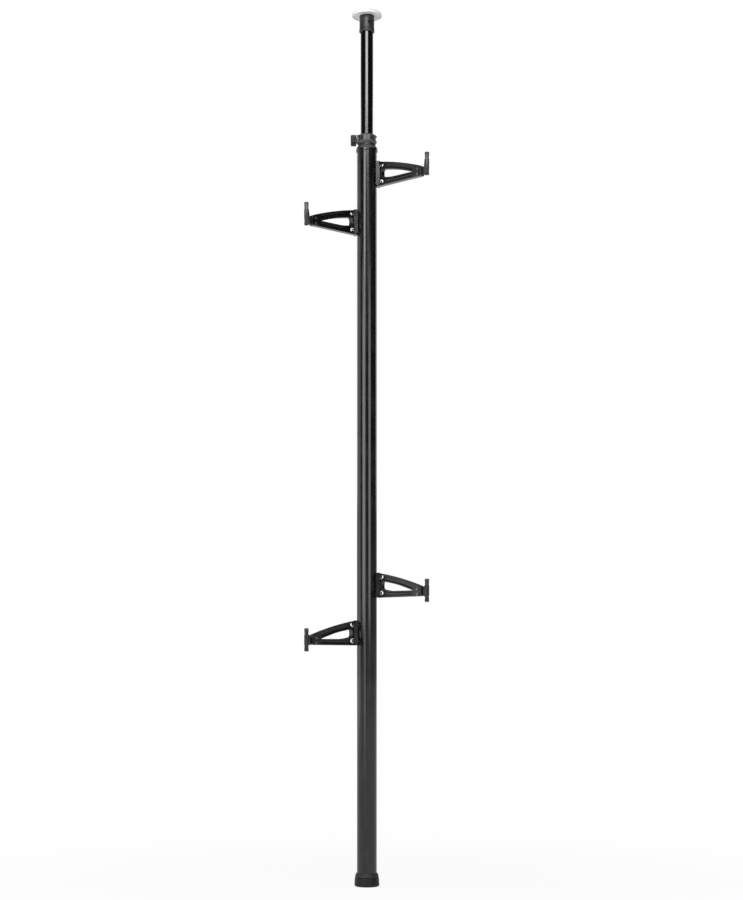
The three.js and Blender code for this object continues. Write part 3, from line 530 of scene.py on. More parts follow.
class Finish(Nodes):
    """A procedural material: noise in object space for colour, gloss and relief."""

    def __init__(self, name, colour, roughness, metallic=0.0, specular=0.5):
        self.material = bpy.data.materials.new(name)
        super().__init__(self.material)
        self.shader = self.tree.nodes["Principled BSDF"].inputs
        self.give(self.shader["Base Color"], colour)
        self.give(self.shader["Roughness"], roughness)
        self.give(self.shader["Metallic"], metallic)
        self.give(self.shader["Specular IOR Level"], specular)
        self.place = self.add("TexCoord").outputs["Object"]
        self.normal = None

    def stretched(self, size, stretch=(1, 1, 1)):
        """Object coordinates in units of a size in millimetres, drawn out along the stretched axes."""
        scale = tuple(1 / (MM * size * share) for share in stretch)
        return self.add("Mapping", {"Vector": self.place, "Scale": scale}).outputs[0]

    def noise(self, size, detail, stretch=(1, 1, 1)):
        inputs = {"Vector": self.stretched(size, stretch), "Scale": 1.0, "Detail": detail}
        return self.add("TexNoise", inputs).outputs["Fac"]

    def cells(self, size):
        return self.add("TexVoronoi", {"Vector": self.stretched(size), "Scale": 1.0}).outputs["Distance"]

    def relief(self, height, depth, strength):
        """Adds relief of a depth in millimetres."""
        inputs = {"Height": height, "Distance": depth * MM, "Strength": strength}
        if self.normal is not None:
            inputs["Normal"] = self.normal
        self.normal = self.add("Bump", inputs).outputs["Normal"]
        self.give(self.shader["Normal"], self.normal)

    def gloss(self, patches, low, high, rub=None, rubbed=0.0):
        """Roughness between two values over soft patches, and duller where rubbed."""
        value = self.ranged(patches, *GLOSS_SPREAD, low, high)
        if rub is not None:
            value = self.maths("ADD", value, self.ranged(rub, *RUB_SPREAD, 0.0, rubbed))
        self.give(self.shader["Roughness"], value)

    def colour(self, value):
        self.give(self.shader["Base Color"], value)

    def tone(self, patches, dark, light):
        return self.mixed(self.ranged(patches, *TONE_SPREAD), dark, light)

    def coat(self, patches, rub, gloss, tones, worn):
        """Sets the gloss of a coat, and gives its colour, which is bare along its worn edges."""
        low, high, rubbed = gloss
        dark, light, bare = tones
        self.gloss(patches, low, high, rub, rubbed)
        edges = self.add("Attribute", attribute_name="edge").outputs["Fac"]
        wear = self.times(edges, self.ranged(rub, *WEAR_SPREAD, 0.03, worn))
        return self.mixed(wear, self.tone(patches, dark, light), bare)


# Finishes.

def enamel_tube():
    """Glossy black lacquer on a drawn tube: soft haze, hair lines along it, a little dust."""
    finish = Finish("black_enamel", (0.002, 0.0018, 0.0016), 0.13)
    haze = finish.noise(60, 4, (1, 1, 5))
    finish.gloss(haze, 0.11, 0.16, finish.noise(9, 5, (1, 1, 6)), 0.04)
    specks = finish.ranged(finish.noise(1.4, 2), 0.66, 0.8)
    dust = finish.times(specks, finish.ranged(haze, 0.4, 0.7, 0.0, 0.5))
    finish.colour(finish.mixed(dust, (0.0018, 0.0016, 0.0014), (0.01, 0.01, 0.009)))
    finish.relief(finish.noise(0.5, 2, (1, 1, 300)), 0.006, 0.25)
    finish.relief(finish.noise(5, 2, (1, 1, 8)), 0.012, 0.2)
    return finish.material


def satin_extrusion():
    """Black anodised extrusion: die lines along the column, soft gloss, a few rubbed patches."""
    finish = Finish("black_extrusion", (0.0025, 0.0023, 0.0021), 0.15)
    patches, rub = finish.noise(80, 4, (1, 1, 6)), finish.noise(14, 5, (1, 1, 4))
    tones = (0.0019, 0.0017, 0.0015), (0.0032, 0.003, 0.0028), (0.05, 0.05, 0.05)
    finish.colour(finish.coat(patches, rub, (0.12, 0.16, 0.04), tones, 0.3))
    finish.relief(finish.noise(0.7, 2, (1, 1, 900)), 0.008, 0.3)
    finish.relief(finish.noise(4, 2, (1, 1, 60)), 0.012, 0.2)
    return finish.material


def powder_casting():
    """Powder-coated casting: fine orange peel, slight tone drift, edges rubbed a little brighter."""
    finish = Finish("black_casting", (0.004, 0.0036, 0.0035), 0.2)
    patches, rub = finish.noise(22, 4), finish.noise(6, 5)
    tones = (0.003, 0.0027, 0.0026), (0.0052, 0.0048, 0.0046), (0.05, 0.048, 0.046)
    finish.colour(finish.coat(patches, rub, (0.17, 0.23, 0.06), tones, 0.4))
    finish.relief(finish.noise(0.8, 2), 0.02, 0.4)
    finish.relief(finish.noise(3, 2), 0.04, 0.25)
    return finish.material


def moulded_plastic(name, dark, light, gloss, grain=0.45, depth=1.0, specular=0.5, painted_shade_zone=None):
    """Moulded plastic with a spark-eroded grain, soft tone drift, paler rubbed edges, and painted shade
    where a zone is given.

    The painted shade zone is a radius about Z and two levels: inside the radius and between the levels the
    colour is darkened as painted shade, standing in for the shadow in a groove.
    """
    finish = Finish(name, dark, gloss, specular=specular)
    patches, rub = finish.noise(18, 4), finish.noise(5, 5)
    paler = tuple(min(1.0, 2.2 * share + 0.01) for share in light)
    tone = finish.coat(patches, rub, (gloss - 0.05, gloss + 0.05, 0.07), (dark, light, paler), 0.4)
    # Painted shade: inside the zone the colour is darkened, for the shadow that falls in the groove.
    if painted_shade_zone is not None:
        parts = finish.parts(finish.place)
        reach = finish.length(finish.add("CombineXYZ", {"X": parts["X"], "Y": parts["Y"]}).outputs[0])
        shares = [
            finish.ranged(value, edge * MM, (edge + way) * MM)
            for value, edge, way in zip((reach, parts["Z"], parts["Z"]), painted_shade_zone, (-ROUND, ROUND, -ROUND))
        ]
        within = finish.times(finish.times(*shares[:2]), shares[2])
        # Painted shade: the colour in the zone goes down to 0.28 of the dark tone.
        tone = finish.mixed(within, tone, tuple(0.28 * share for share in dark))
    finish.colour(tone)
    finish.relief(finish.cells(grain), 0.03, 0.35 * depth)
    finish.relief(finish.noise(grain * 5, 2), 0.05, 0.25 * depth)
    return finish.material


def capped_plastic(level, neck):
    """Two-tone cap: glossy black up to a level, the collar's grained grey above it, and painted shade
    darkening the neck under the collar.
    """
    finish = Finish("cap_plastic_painted_shade", (0.02, 0.02, 0.02), 0.3)
    patches = finish.noise(18, 4)
    height = finish.parts(finish.place)["Z"]
    above = finish.ranged(height, (level - FINE) * MM, (level + FINE) * MM)
    grained = finish.times(above, finish.ranged(patches, *GLOSS_SPREAD, 0.24, 0.32))
    smooth = finish.ranged(patches, *GLOSS_SPREAD, 0.13, 0.18)
    finish.give(finish.shader["Roughness"], finish.maths("ADD", smooth, grained))
    grey = finish.tone(patches, (0.038, 0.0375, 0.033), (0.054, 0.053, 0.047))
    # Painted shade: the cap's neck, under the collar's lower flange, is darkened in the colour for the
    # shadow that falls there.
    painted_neck_shade = finish.ranged(height, (neck - ROUND) * MM, neck * MM)
    grey = finish.mixed(painted_neck_shade, grey, (0.014, 0.0138, 0.0122))
    finish.colour(finish.mixed(above, (0.0025, 0.0023, 0.0021), grey))
    finish.relief(finish.times(finish.cells(0.45), above), 0.03, 0.35)
    return finish.material


def matte_rubber(name, dark, light, gloss=0.72, specular=0.5):
    """Moulded rubber: fine pebbles, dull sheen, dust that stays in the low spots."""
    finish = Finish(name, dark, gloss, specular=specular)
    pebbles, dust = finish.cells(0.8), finish.noise(12, 5)
    finish.gloss(dust, gloss - 0.08, gloss + 0.1)
    tone = finish.tone(finish.noise(25, 3), dark, light)
    dusty = finish.times(finish.ranged(dust, 0.5, 0.75), finish.ranged(pebbles, 0.2, 0.8, 0.1, 0.4))
    finish.colour(finish.mixed(dusty, tone, tuple(min(1.0, 1.8 * share + 0.012) for share in light)))
    finish.relief(pebbles, 0.06, 0.5)
    finish.relief(finish.noise(4, 3), 0.06, 0.3)
    return finish.material


def plated_steel(name, colour, gloss=0.28):
    """Plated steel with fine brush lines and patchy gloss."""
    finish = Finish(name, colour, gloss, metallic=1.0)
    patches = finish.noise(2.5, 4)
    finish.gloss(patches, gloss - 0.08, gloss + 0.14)
    darker = tuple(0.72 * share for share in colour)
    finish.colour(finish.mixed(finish.ranged(patches, 0.35, 0.75), colour, darker))
    finish.relief(finish.noise(0.18, 2, (1, 8, 1)), 0.01, 0.4)
    return finish.material


CAP_TOP = box_mm("column_cap")[1].z
LIP_TOP = CAP_TOP - CAP_STEPS.neck - CAP_STEPS.slope - CAP_STEPS.shoulder
COLLAR_BOTTOM = box_mm("clamp_collar")[0].z
# Zone of the collar's painted shade: inside the flanges' radius and between its lower and upper levels, in
# the groove where shadow falls.
COLLAR_PAINTED_SHADE = [
    COLLAR.flange - FINE, COLLAR_BOTTOM + COLLAR_LEVELS.lower,
    COLLAR_BOTTOM + COLLAR_LEVELS.upper - FINE,
]
OLIVE_GREY = (0.045, 0.0445, 0.038), (0.062, 0.061, 0.053)
FINISHES = {
    "enamel": enamel_tube(),
    "black_tube": satin_extrusion(),
    "black_casting": powder_casting(),
    "cap": capped_plastic(LIP_TOP, CAP_TOP - CAP_STEPS.neck),
    "dark_plastic": moulded_plastic("dark_plastic", *OLIVE_GREY, 0.42),
    # The collar's finish paints shade in its groove between the flanges.
    "collar": moulded_plastic("collar_plastic_painted_shade", *OLIVE_GREY, 0.42, painted_shade_zone=COLLAR_PAINTED_SHADE),
    "black_plastic": moulded_plastic(
        "black_plastic", (0.006, 0.0054, 0.0054), (0.009, 0.0083, 0.0082), 0.34, depth=0.6, specular=0.35),
    "cup": moulded_plastic("cup_plastic", (0.015, 0.0145, 0.0128), (0.021, 0.0205, 0.0185), 0.4, 0.3),
    "cradle": moulded_plastic(
        "cradle_plastic", (0.011, 0.0106, 0.0098), (0.016, 0.0156, 0.0145), 0.32, depth=0.4, specular=0.4),
    "socket": moulded_plastic("socket_plastic", (0.008, 0.0076, 0.007), (0.011, 0.0106, 0.0098), 0.62),
    "boot": matte_rubber("boot_rubber", (0.003, 0.0026, 0.0024), (0.0055, 0.005, 0.0048), 0.5, 0.3),
    "dark_rubber": matte_rubber("dark_rubber", (0.012, 0.0115, 0.011), (0.018, 0.0175, 0.017)),
    "pale_plastic": moulded_plastic("pale_plastic", (0.74, 0.755, 0.755), (0.8, 0.81, 0.81), 0.38),
    "pale_rubber": matte_rubber("pale_rubber", (0.6, 0.6, 0.58), (0.68, 0.68, 0.66)),
    "zinc_steel": plated_steel("zinc_steel", (0.72, 0.73, 0.75)),
    "spring_steel": plated_steel("spring_steel", (0.3, 0.3, 0.31), 0.35),
    "bolt_steel": plated_steel("bolt_steel", (0.18, 0.18, 0.185), 0.25),
    "black_steel": plated_steel("black_steel", (0.03, 0.03, 0.032), 0.3),
    "brass": plated_steel("brass", (0.72, 0.52, 0.22), 0.3),
}


# Foot.

def foot_boot():
    low, high = box_mm("foot_boot")
    inner, floor = BOOT.top_radius - BOOT.wall, low.z + BOOT.floor
    boot = turned("foot_boot_rubber", [
        (0, low.z, 0), *grooves(BOOT_GROOVES, low.z, 2 * GROOVE.depth),
        (BOOT.radius, low.z, BOOT.corner), (BOOT.top_radius, high.z, BOOT.top_round),
        (inner, high.z, FIRM), (inner, floor, SOFT), (0, floor, 0),
    ])
    dressed(boot, "column", "foot_boot", "dark_rubber", "boot")


def foot_socket():
    low, high = box_mm("foot_socket")
    top, shoulder, hollow = SOCKET.top, SOCKET.shoulder, SOCKET.bore
    bore = COLUMN.radius + GAP
    rim = bore + SOCKET.lip
    inner = BOOT.top_radius - BOOT.wall - GAP
    bottom, floor = box_mm("foot_boot")[1].z + GAP, low.z + SOCKET.floor
    middle = (shoulder + rim) / 2 + SOCKET.bulge, (top + bottom) / 2
    shell = turned("foot_socket_shell", [
        (hollow, low.z, FINE), (inner, low.z, SOFT), (inner, bottom, CRISP),
        (shoulder, bottom, SOCKET_ROUND.shoulder), (*middle, SOCKET_ROUND.bulge),
        (rim, top, FIRM), (bore, top, FINE), (bore, floor, FINE), (SOCKET.spigot, floor, FINE),
        (SOCKET.spigot, high.z, SOFT), (hollow, high.z, FINE),
    ])
    dressed(shell, "column", "foot_socket", "dark_plastic", "socket")


# Column and mast.

def between_slots(radius, half_slot, side, count, rounding=0):
    """Corners of a round stretch of the column's section, from one slot to the other."""
    turn = asin(half_slot / radius)
    first = turn if side > 0 else pi + turn
    angles = [first + (pi - 2 * turn) * k / count for k in range(count + 1)]
    corners = [(radius * cos(angle), radius * sin(angle), 0) for angle in angles]
    ends = [(*corner[:2], rounding) for corner in (corners[0], corners[-1])]
    return [ends[0], *corners[1:-1], ends[1]]


def slotted_outline():
    """Outside of the column's section, counter-clockwise from the right slot's lower lip."""
    mouth, channel = SLOT.mouth / 2, SLOT.width / 2
    lip_face = COLUMN.radius - SLOT.lip
    floor_face = lip_face - SLOT.depth
    corners = []
    for side in (1, -1):
        corners += [(side * x, side * y, FINE) for x, y in (
            (lip_face, -mouth), (lip_face, -channel), (floor_face, -channel),
            (floor_face, channel), (lip_face, channel), (lip_face, mouth),
        )]
        corners += between_slots(COLUMN.radius, mouth, side, COLUMN.sides // 2, FINE)
    return arcs(corners, 4)


def bore_outline():
    """Bore of the column's section, flat where it passes the walls of the two slots."""
    wall_face = COLUMN.radius - SLOT.lip - SLOT.depth - SLOT.wall
    wall_half = SLOT.width / 2 + SLOT.wall
    corners = []
    for side in (1, -1):
        corners += [(side * wall_face, side * y, SLOT.wall_round) for y in (-wall_half, wall_half)]
        corners += between_slots(COLUMN.radius - COLUMN.wall, wall_half, side, 60)
    return arcs(corners, 4)


def column_and_mast():
    low, high = box_mm("outer_column")
    outlines = [slotted_outline(), bore_outline()]
    body = prism("column_tube", outlines, low.z, high.z, (CRISP, CRISP), steps=2)
    dressed(body, "column", "outer_column", "black_tube")
    low, high = box_mm("mast_tube")
    radius, bore = MAST.radius, MAST.radius - MAST.wall
    tube = turned("mast_tube_enamel", [
        (bore, low.z, FINE), (radius, low.z, SOFT), (radius, high.z, SOFT), (bore, high.z, FINE)])
    dressed(tube, "mast", "mast_tube", "black_tube", "enamel")


# Cap, clamp collar and knob.

def column_cap():
    bottom = LIP_TOP - CAP_STEPS.lip
    seat = bottom + CAP.skirt + GAP
    bore, tube = MAST.radius + GAP, COLUMN.radius + GAP
    body = turned("column_cap_body", [
        (bore, seat, FINE), (tube, seat, CRISP), (tube, bottom, FINE), (CAP.lip, bottom, CAP.lip_round),
        (CAP.lip, LIP_TOP, SOFT), (CAP.shoulder, LIP_TOP + CAP_STEPS.shoulder, ROUND),
        (CAP.waist, CAP_TOP - CAP_STEPS.neck, ROUND), (CAP.neck, CAP_TOP, SOFT),
        (bore, CAP_TOP, FINE),
    ])
    dressed(body, "column", "column_cap", "black_plastic", "cap")


def knob_axis():
    """Frame whose Z runs along the clamp knob's axis, outwards to the left."""
    low, high = box_mm("clamp_stud")
    return moved(z=(low.z + high.z) / 2) @ spun(-90, "Y")


def clamp_collar():
    low, high = box_mm("clamp_collar")
    bore, rim, face, sides = MAST.radius + GAP, COLLAR.rim, COLLAR_BOSS.face, COLLAR.sides
    lower, upper = low.z + COLLAR_LEVELS.lower, low.z + COLLAR_LEVELS.upper
    body = turned("clamp_collar_body", [
        (bore, low.z, FINE), (CAP.neck, low.z, SOFT), (COLLAR.flange, lower, ROUND),
        (COLLAR.groove, low.z + COLLAR_LEVELS.middle, COLLAR.groove_round),
        (COLLAR.flange, upper, ROUND),
        (rim, high.z, ROUND), (bore, high.z, FINE),
    ], sides)
    half = COLLAR_BOSS.width / 2
    for near, far in ((-face, -rim), (rim, face)):
        join(body, block("boss", (-half, near, lower), (half, far, upper), COLLAR_BOSS.round))
    half = COLLAR_RIB.width / 2
    for turn in COLLAR_RIB.turns:
        join(body, block("rib", (rim, -half, lower), (face, half, upper), SOFT, spun(turn, "Z")))
    half, bottom, reach = LUG.width / 2, LUG.bottom, LUG.reach
    outline = arcs(rectangle((-half, bottom), (half, bottom + LUG.height), LUG.corner))
    place = moved(z=low.z) @ TO_THE_LEFT @ SIDEWAYS
    join(body, prism("lug", [outline], rim, reach, (FINE, ROUND), place))
    axis = knob_axis()
    cut(body,
        drum("mast_room", bore, low.z - OVERRUN, high.z + OVERRUN, sides),
        drum("insert_room", INSERT.radius, INSERT.inner, reach + OVERRUN, matrix=axis),
        drum("shoe_room", SHOE_ROOM, 0, reach, matrix=axis))
    dressed(body, "column", "clamp_collar", "dark_plastic", "collar", sharp=40)


def lobed_outline(count=180):
    """Knob's outline, with finger hollows between its lobes."""
    points = []
    for k in range(count):
        angle = 2 * pi * k / count
        hollow = (1 - cos(KNOB.lobes * angle)) / 2
        reach = KNOB.radius - KNOB.depth * hollow ** HOLLOW_POWER
        points.append((reach * cos(angle), reach * sin(angle)))
    return points


def clamp_knob():
    low, high = box_mm("clamp_knob")
    front, hub, sides, axis = -low.x, -high.x, KNOB.sides, knob_axis()
    back, floor = hub + KNOB.hub_length, front - KNOB_DISH.depth
    body = prism("clamp_knob_body", [lobed_outline()], back, front, (ROUND, KNOB.corner), axis, 7)
    join(body, drum("hub", KNOB.hub, hub, back + OVERLAP, sides, axis))
    dish = turned("dish", [
        (0, floor, 0), (KNOB_DISH.radius, floor, SOFT), (KNOB_DISH.mouth, front + OVERLAP, 0),
        (0, front + OVERLAP, 0),
    ], sides, axis)
    room = drum("stud_room", STUD_ROOM.radius, hub - OVERRUN, back + STUD_ROOM.depth, matrix=axis)
    cut(body, dish, room)
    dressed(body, "knob", "clamp_knob", "black_plastic", sharp=38)


# Ceiling end.

def ceiling_cup():
    low, high = box_mm("ceiling_cup")
    bore, roof, hole, radius = MAST.radius + GAP, high.z - CUP.roof, PLATE.bore, CUP.radius
    body = turned("ceiling_cup_body", [
        (bore, low.z, FINE), (CUP.flare, low.z, CUP_ROUND.mouth),
        (CUP.flare, low.z + CUP.foot, CUP_ROUND.foot),
        (radius, low.z + CUP.flare_height, CUP_ROUND.neck), (radius, high.z, SOFT),
        (hole, high.z, CRISP), (hole, roof, CRISP), (bore, roof, SOFT),
    ])
    screw_low, screw_high = box_mm("cup_screw")
    about = moved(z=(screw_low.z + screw_high.z) / 2) @ spun(CUP.screw_turn, "Z")
    ends = (0, -radius - OVERRUN, 0), (0, -OVERRUN, 0)
    cut(body, rod("screw_room", SCREW_ROOM, *ends, matrix=about))
    dressed(body, "ceiling_cap", "ceiling_cup", "black_plastic", "cup")


def ceiling_plate():
    low, high = box_mm("ceiling_plate")
    radius, bore, under = PLATE.radius, PLATE.bore, low.z + PLATE.lip_drop
    rim = radius - PLATE.lip
    ring, level = PLATE_RING.radius, under + PLATE_RING.step
    plate = turned("ceiling_plate_disc", [
        (bore, under, CRISP), (ring, under, SOFT), (ring + PLATE_RING.slope, level, SOFT),
        (rim - PLATE.lip_slope, level, ROUND), (rim, low.z, SOFT), (radius, low.z, PLATE_ROUND.lip),
        (radius, high.z, PLATE_ROUND.top), (bore, high.z, CRISP),
    ])
    dressed(plate, "ceiling_cap", "ceiling_plate", "pale_plastic")


def ceiling_pad():
    low, high = box_mm("ceiling_pad")
    rings = grooves(PAD_GROOVES, high.z, -GROOVE.depth)[::-1]
    pad = turned("ceiling_pad_rubber", [
        (0, low.z, 0), (high.x, low.z, SOFT), (high.x, high.z, SOFT), *rings, (0, high.z, 0)])
    dressed(pad, "ceiling_cap", "ceiling_pad", "pale_rubber")


def tension_spring(sides=16, steps_a_turn=48):
    """Coil inside the mast, which shortens as the ceiling end is pressed down."""
    low, high = box_mm("tension_spring")
    wire, steps = SPRING.wire, SPRING.turns * steps_a_turn
    rings = []
    for k in range(steps + 1):
        turn = 2 * pi * k / steps_a_turn
        level = low.z + wire + (high.z - low.z - 2 * wire) * k / steps
        ring = []
        for across, up in circle(wire, sides):
            reach = SPRING.radius + across
            ring.append((reach * cos(turn), reach * sin(turn), level + up))
        rings.append(ring)
    coil = lofted("tension_spring_coil", rings)
    dressed(coil, "mast", "tension_spring", "spring_steel")
    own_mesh(coil)


# Arms.

def arm_top_edge(u):
    t = u / ARM_LENGTH
    return ARM.root * (1 - t) ** 2 + 2 * ARM.shoulder * t * (1 - t) + ARM.tip * t ** 2


def arm_outline(steps=60):
    run = ARM_CORNER.root / cos(SWEEP)
    tip, tip_top = ARM_CORNER.tip, arm_top_edge(ARM_LENGTH)
    tip_start = ARM_LENGTH - tip
    points = [(u, arm_top_edge(u)) for u in (tip_start * k / steps for k in range(steps))]
    last = tip_start, arm_top_edge(tip_start)
    points += parabola(last, (ARM_LENGTH, tip_top), (ARM_LENGTH, tip_top - tip))
    points += parabola((ARM_LENGTH, tip), (ARM_LENGTH, 0), (tip_start, 0))
    points += parabola((run, 0), (0, 0), (0, ARM_CORNER.root))
    return points


def window_outline():
    shares = zip(WINDOW_REACH_SHARES, WINDOW_HEIGHT_SHARES)
    return softened([(ARM_LENGTH * reach, ARM.root * height) for reach, height in shares], WINDOW_ROUND)


def distance_to(points, loop):
    """Distance of each point to a closed outline."""
    starts = np.array(loop, float)
    best = np.full(len(points), np.inf)
    for start, edge in zip(starts, np.roll(starts, -1, 0) - starts):
        t = np.clip(((points - start) @ edge) / (edge @ edge), 0, 1)
        best = np.minimum(best, np.hypot(*(points - start - t[:, None] * edge).T))
    return best


def arm_fields(points, outer, window):
    """How far each point lies inside the plate's edge, and inside the sunk web's edge."""
    to_outer, to_window = distance_to(points, outer), distance_to(points, window)
    web = np.minimum(to_outer - ARM_RIM.outer, to_window - ARM_RIM.window)
    web = np.minimum(web, ARM_LENGTH - ARM_TIP_BLOCK - points[:, 0])
    return np.minimum(to_outer, to_window), web


def arm_half_width(edge, web):
    """Half the plate's thickness: round outer edges, a round brim, a drafted wall and a round toe."""
    def quarter(within, radius):
        return radius - np.sqrt(radius ** 2 - np.clip(within, 0, radius) ** 2)

    brim, draft, toe = RELIEF.brim, RELIEF.draft, RELIEF.toe
    depth = (ARM.width - ARM.web) / 2
    half = ARM.width / 2 - quarter(RELIEF.edge - edge, RELIEF.edge) - quarter(web + brim, brim)
    half -= np.clip(web / draft, 0, 1) * (depth - brim - toe)
    return half - toe + quarter(toe + draft - web, toe)


def truss_plate():
    """The arm's plate: rounded rims round its outline and window, a sunk web between them on both faces."""
    outer = oriented(divided(arm_outline(), OUTLINE_SPACING), True)
    window = oriented(divided(window_outline(), OUTLINE_SPACING), False)
    loops = [outer, window]
    points = outer + window
    edges = ring_edges(loops)

    def add_row(row, wanted, which):
        """Adds a line of points, linked where they follow each other, at a wanted depth of a field."""
        found = arm_fields(row, outer, window)[which]
        kept = (np.abs(found - wanted) < ROW_ERROR) & inside(row, loops)
        last = None
        for point, keep in zip(row, kept):
            if not keep:
                last = None
                continue
            points.append(tuple(point))
            if last is not None and dist(points[last], point) < 2.5 * OUTLINE_SPACING:
                edges.append((last, len(points) - 1))
            last = len(points) - 1

    for depth in (RELIEF.edge * share for share in (0.05, 0.2, 0.45, 0.75, 1)):
        for loop in loops:
            add_row(inset(loop, depth), depth, 0)
    brim, draft, toe = RELIEF.brim, RELIEF.draft, RELIEF.toe
    upright = np.arange(0, ARM.root, OUTLINE_SPACING)
    for level in (-brim, -brim / 2, -brim / 6, 0, draft, draft + toe / 8, draft + toe / 2, draft + toe):
        add_row(inset(outer, ARM_RIM.outer + level), level, 1)
        add_row(inset(window, ARM_RIM.window + level), level, 1)
        add_row(np.stack([np.full(len(upright), ARM_LENGTH - ARM_TIP_BLOCK - level), upright], 1), level, 1)
    grid = np.array([
        (u + level % 2, level) for level in np.arange(GRID_SPACING, ARM.root, GRID_SPACING)
        for u in np.arange(GRID_SPACING, ARM_LENGTH, GRID_SPACING)
    ])
    grid = grid[inside(grid, loops)]
    edge, web = arm_fields(grid, outer, window)
    points += [tuple(p) for p in grid[(edge > 2) & ((web < -brim - 1) | (web > draft + toe + 1))]]

    spots, triangles, spot_of = triangulated(points, edges, loops)
    half = arm_half_width(*arm_fields(spots, outer, window))
    count = len(spots)
    plate = [(u, side * h, z) for side in (-1, 1) for (u, z), h in zip(spots.tolist(), half)]
    faces = triangles.tolist() + (triangles[:, ::-1] + count).tolist()
    for a, b in ring_edges(loops):
        a, b = spot_of[a], spot_of[b]
        faces.append([a, b, b + count, a + count])
    return solid("arm_truss", plate, faces, ARM_PLACE)


def flange_outline():
    rim, chamfer, corner = ARM_RIM.outer, FLANGE.chamfer, FLANGE.corner
    inner, outer = COLUMN.radius - rim, COLUMN.radius + FLANGE.thickness
    foot = outer - chamfer
    points = parabola((inner, rim + ARM_CORNER.root), (inner, 0), (foot, 0), 12)
    corners = [(foot, 0, 0), (outer, 0, corner), (outer, ARM.root, corner), (inner, ARM.root, 0)]
    return points + arcs(corners)[1:]


def arm_body():
    arm = truss_plate()
    outer, half, edge = COLUMN.radius + FLANGE.thickness, FLANGE.depth / 2, FLANGE.edge
    join(arm, prism("flange", [flange_outline()], -half, half, (edge, edge), UPRIGHT))
    seat = COLUMN.radius + GAP
    cut(arm, drum("column_room", seat, -OVERRUN, ARM.root + OVERRUN, FLANGE.seat_sides))
    middle, sides = outer + BOLT_WINDOW.beyond, BOLT_WINDOW.sides
    head_room, head_end = BOLT.head + BOLT_WINDOW.head_room, outer + BOLT.height + OVERLAP
    for level in BOLT_LEVELS:
        window_ends = (middle, -2 * half, level), (middle, BOLT_WINDOW.floor, level)
        cut(arm,
            rod("bolt_window", BOLT_WINDOW.radius, *window_ends, sides),
            rod("head_room", head_room, (outer, 0, level), (head_end, 0, level), sides),
            rod("bolt_room", BOLT.radius + GAP, (0, 0, level), (outer + OVERRUN, 0, level)))
    thick, tall = CRADLE.tang / 2 + GAP, CRADLE.height / 2 + GAP
    low = ARM_LENGTH - CRADLE.tang_length - GAP, -thick, CRADLE.centre - tall
    cut(arm, block("mortise", low, (ARM_LENGTH + OVERRUN, thick, CRADLE.centre + tall), 0, ARM_PLACE))
    u = ARM_LENGTH - TIP_SCREW_FROM_END
    for level in TIP_SCREW_LEVELS:
        ends = (u, -ARM.width, level), (u, ARM.width, level)
        cut(arm, rod("screw_room", TIP_SCREW.radius + GAP, *ends, matrix=ARM_PLACE))
    return arm


def socket_screw(name, sizes, shank_length, matrix):
    """Cap screw: a round head with a six-sided socket, on a shank that runs down from its underside."""
    shank, head, height, key = sizes.radius, sizes.head, sizes.height, sizes.key
    tip, point, point_round = -shank_length, SCREW_POINT.depth, SCREW_POINT.round
    screw = turned(name, [
        (0, tip, 0), (shank - point, tip, point_round), (shank, tip + point, point_round), (shank, 0, 0),
        (head, 0, FINE), (head, height, height * CROWN_SHARE), (0, height, 0),
    ], SMALL_SIDES)
    hexagon = circle(key / cos(pi / 6), 6)
    low, high = height - SCREW_MOUTH.depth, height + SCREW_MOUTH.proud
    mouth = turned("socket_mouth", [
        (0, low, 0), (key * SCREW_MOUTH.low_share, low, 0), (key * SCREW_MOUTH.high_share, high, 0),
        (0, high, 0),
    ], SMALL_SIDES)
    floor = height - sizes.key_depth
    cut(screw, prism("socket", [hexagon], floor, height + OVERLAP, (0, 0), steps=1), mouth)
    screw.data.transform(matrix)
    return screw


def root_bolt(level):
    seat = COLUMN.radius + FLANGE.thickness + GAP
    tip = COLUMN.radius - SLOT.lip - SLOT.depth + GAP
    return socket_screw("root_bolt", BOLT, seat - tip, moved(seat, 0, level) @ spun(90, "Y"))


def tip_screw(level):
    place = moved(ARM_LENGTH - TIP_SCREW_FROM_END, -ARM.width / 2 - GAP, level) @ spun(90, "X")
    return socket_screw("tip_screw", TIP_SCREW, ARM.width - GAP, ARM_PLACE @ place)


def stop_bar(sides=40, levels=48):
    """Upright bar, waisted from the front and bowed from the side, with rounded edges and ends."""
    half_height, corner = STOP.height / 2, STOP_ROUND.corner
    rings = []
    for k in range(levels + 1):
        t = sin(-pi / 2 + pi * k / levels)
        near_end = min(1, half_height * (1 - abs(t)) / corner)
        shrink = corner * (1 - sqrt(max(0, 1 - (1 - near_end) ** 2)))
        across = (STOP.waist + (STOP.width - STOP.waist) * t * t) / 2 - shrink
        front = STOP.front - STOP_ROUND.bow * t * t - shrink
        back = STOP.front - STOP.thickness + shrink
        ring = []
        for point in circle(1, sides):
            x, y = (copysign(sqrt(abs(v)), v) for v in point)
            y = (front + back) / 2 + y * (front - back) / 2
            ring.append((CRADLE_OFFSET + across * x, -y, CRADLE.centre + half_height * t))
        rings.append(ring)
    return lofted("stop_bar", rings)


def cradle_body():
    bar = stop_bar()
    low, high = (CRADLE.centre + side * CRADLE.height / 2 for side in (-1, 1))
    half, tang, offset = CRADLE.beam / 2, CRADLE.tang / 2, CRADLE_OFFSET
    bend = (offset - COLUMN.radius) / cos(SWEEP)
    x, y, _ = ARM_PLACE @ Vector((bend * MM, 0, 0)) / MM
    front = STOP.front - STOP.thickness + CRADLE.in_bar
    tang_start = ARM_LENGTH - CRADLE.tang_length
    join(bar,
         block("beam", (offset - half, -front, low), (offset + half, y, high), CRADLE_ROUND.beam),
         block("tang", (tang_start, -tang, low), (bend, tang, high), CRADLE_ROUND.tang, ARM_PLACE),
         rod("elbow", half, (x, y, low + FINE), (x, y, high - FINE), CRADLE_ROUND.elbow_sides))
    return bar


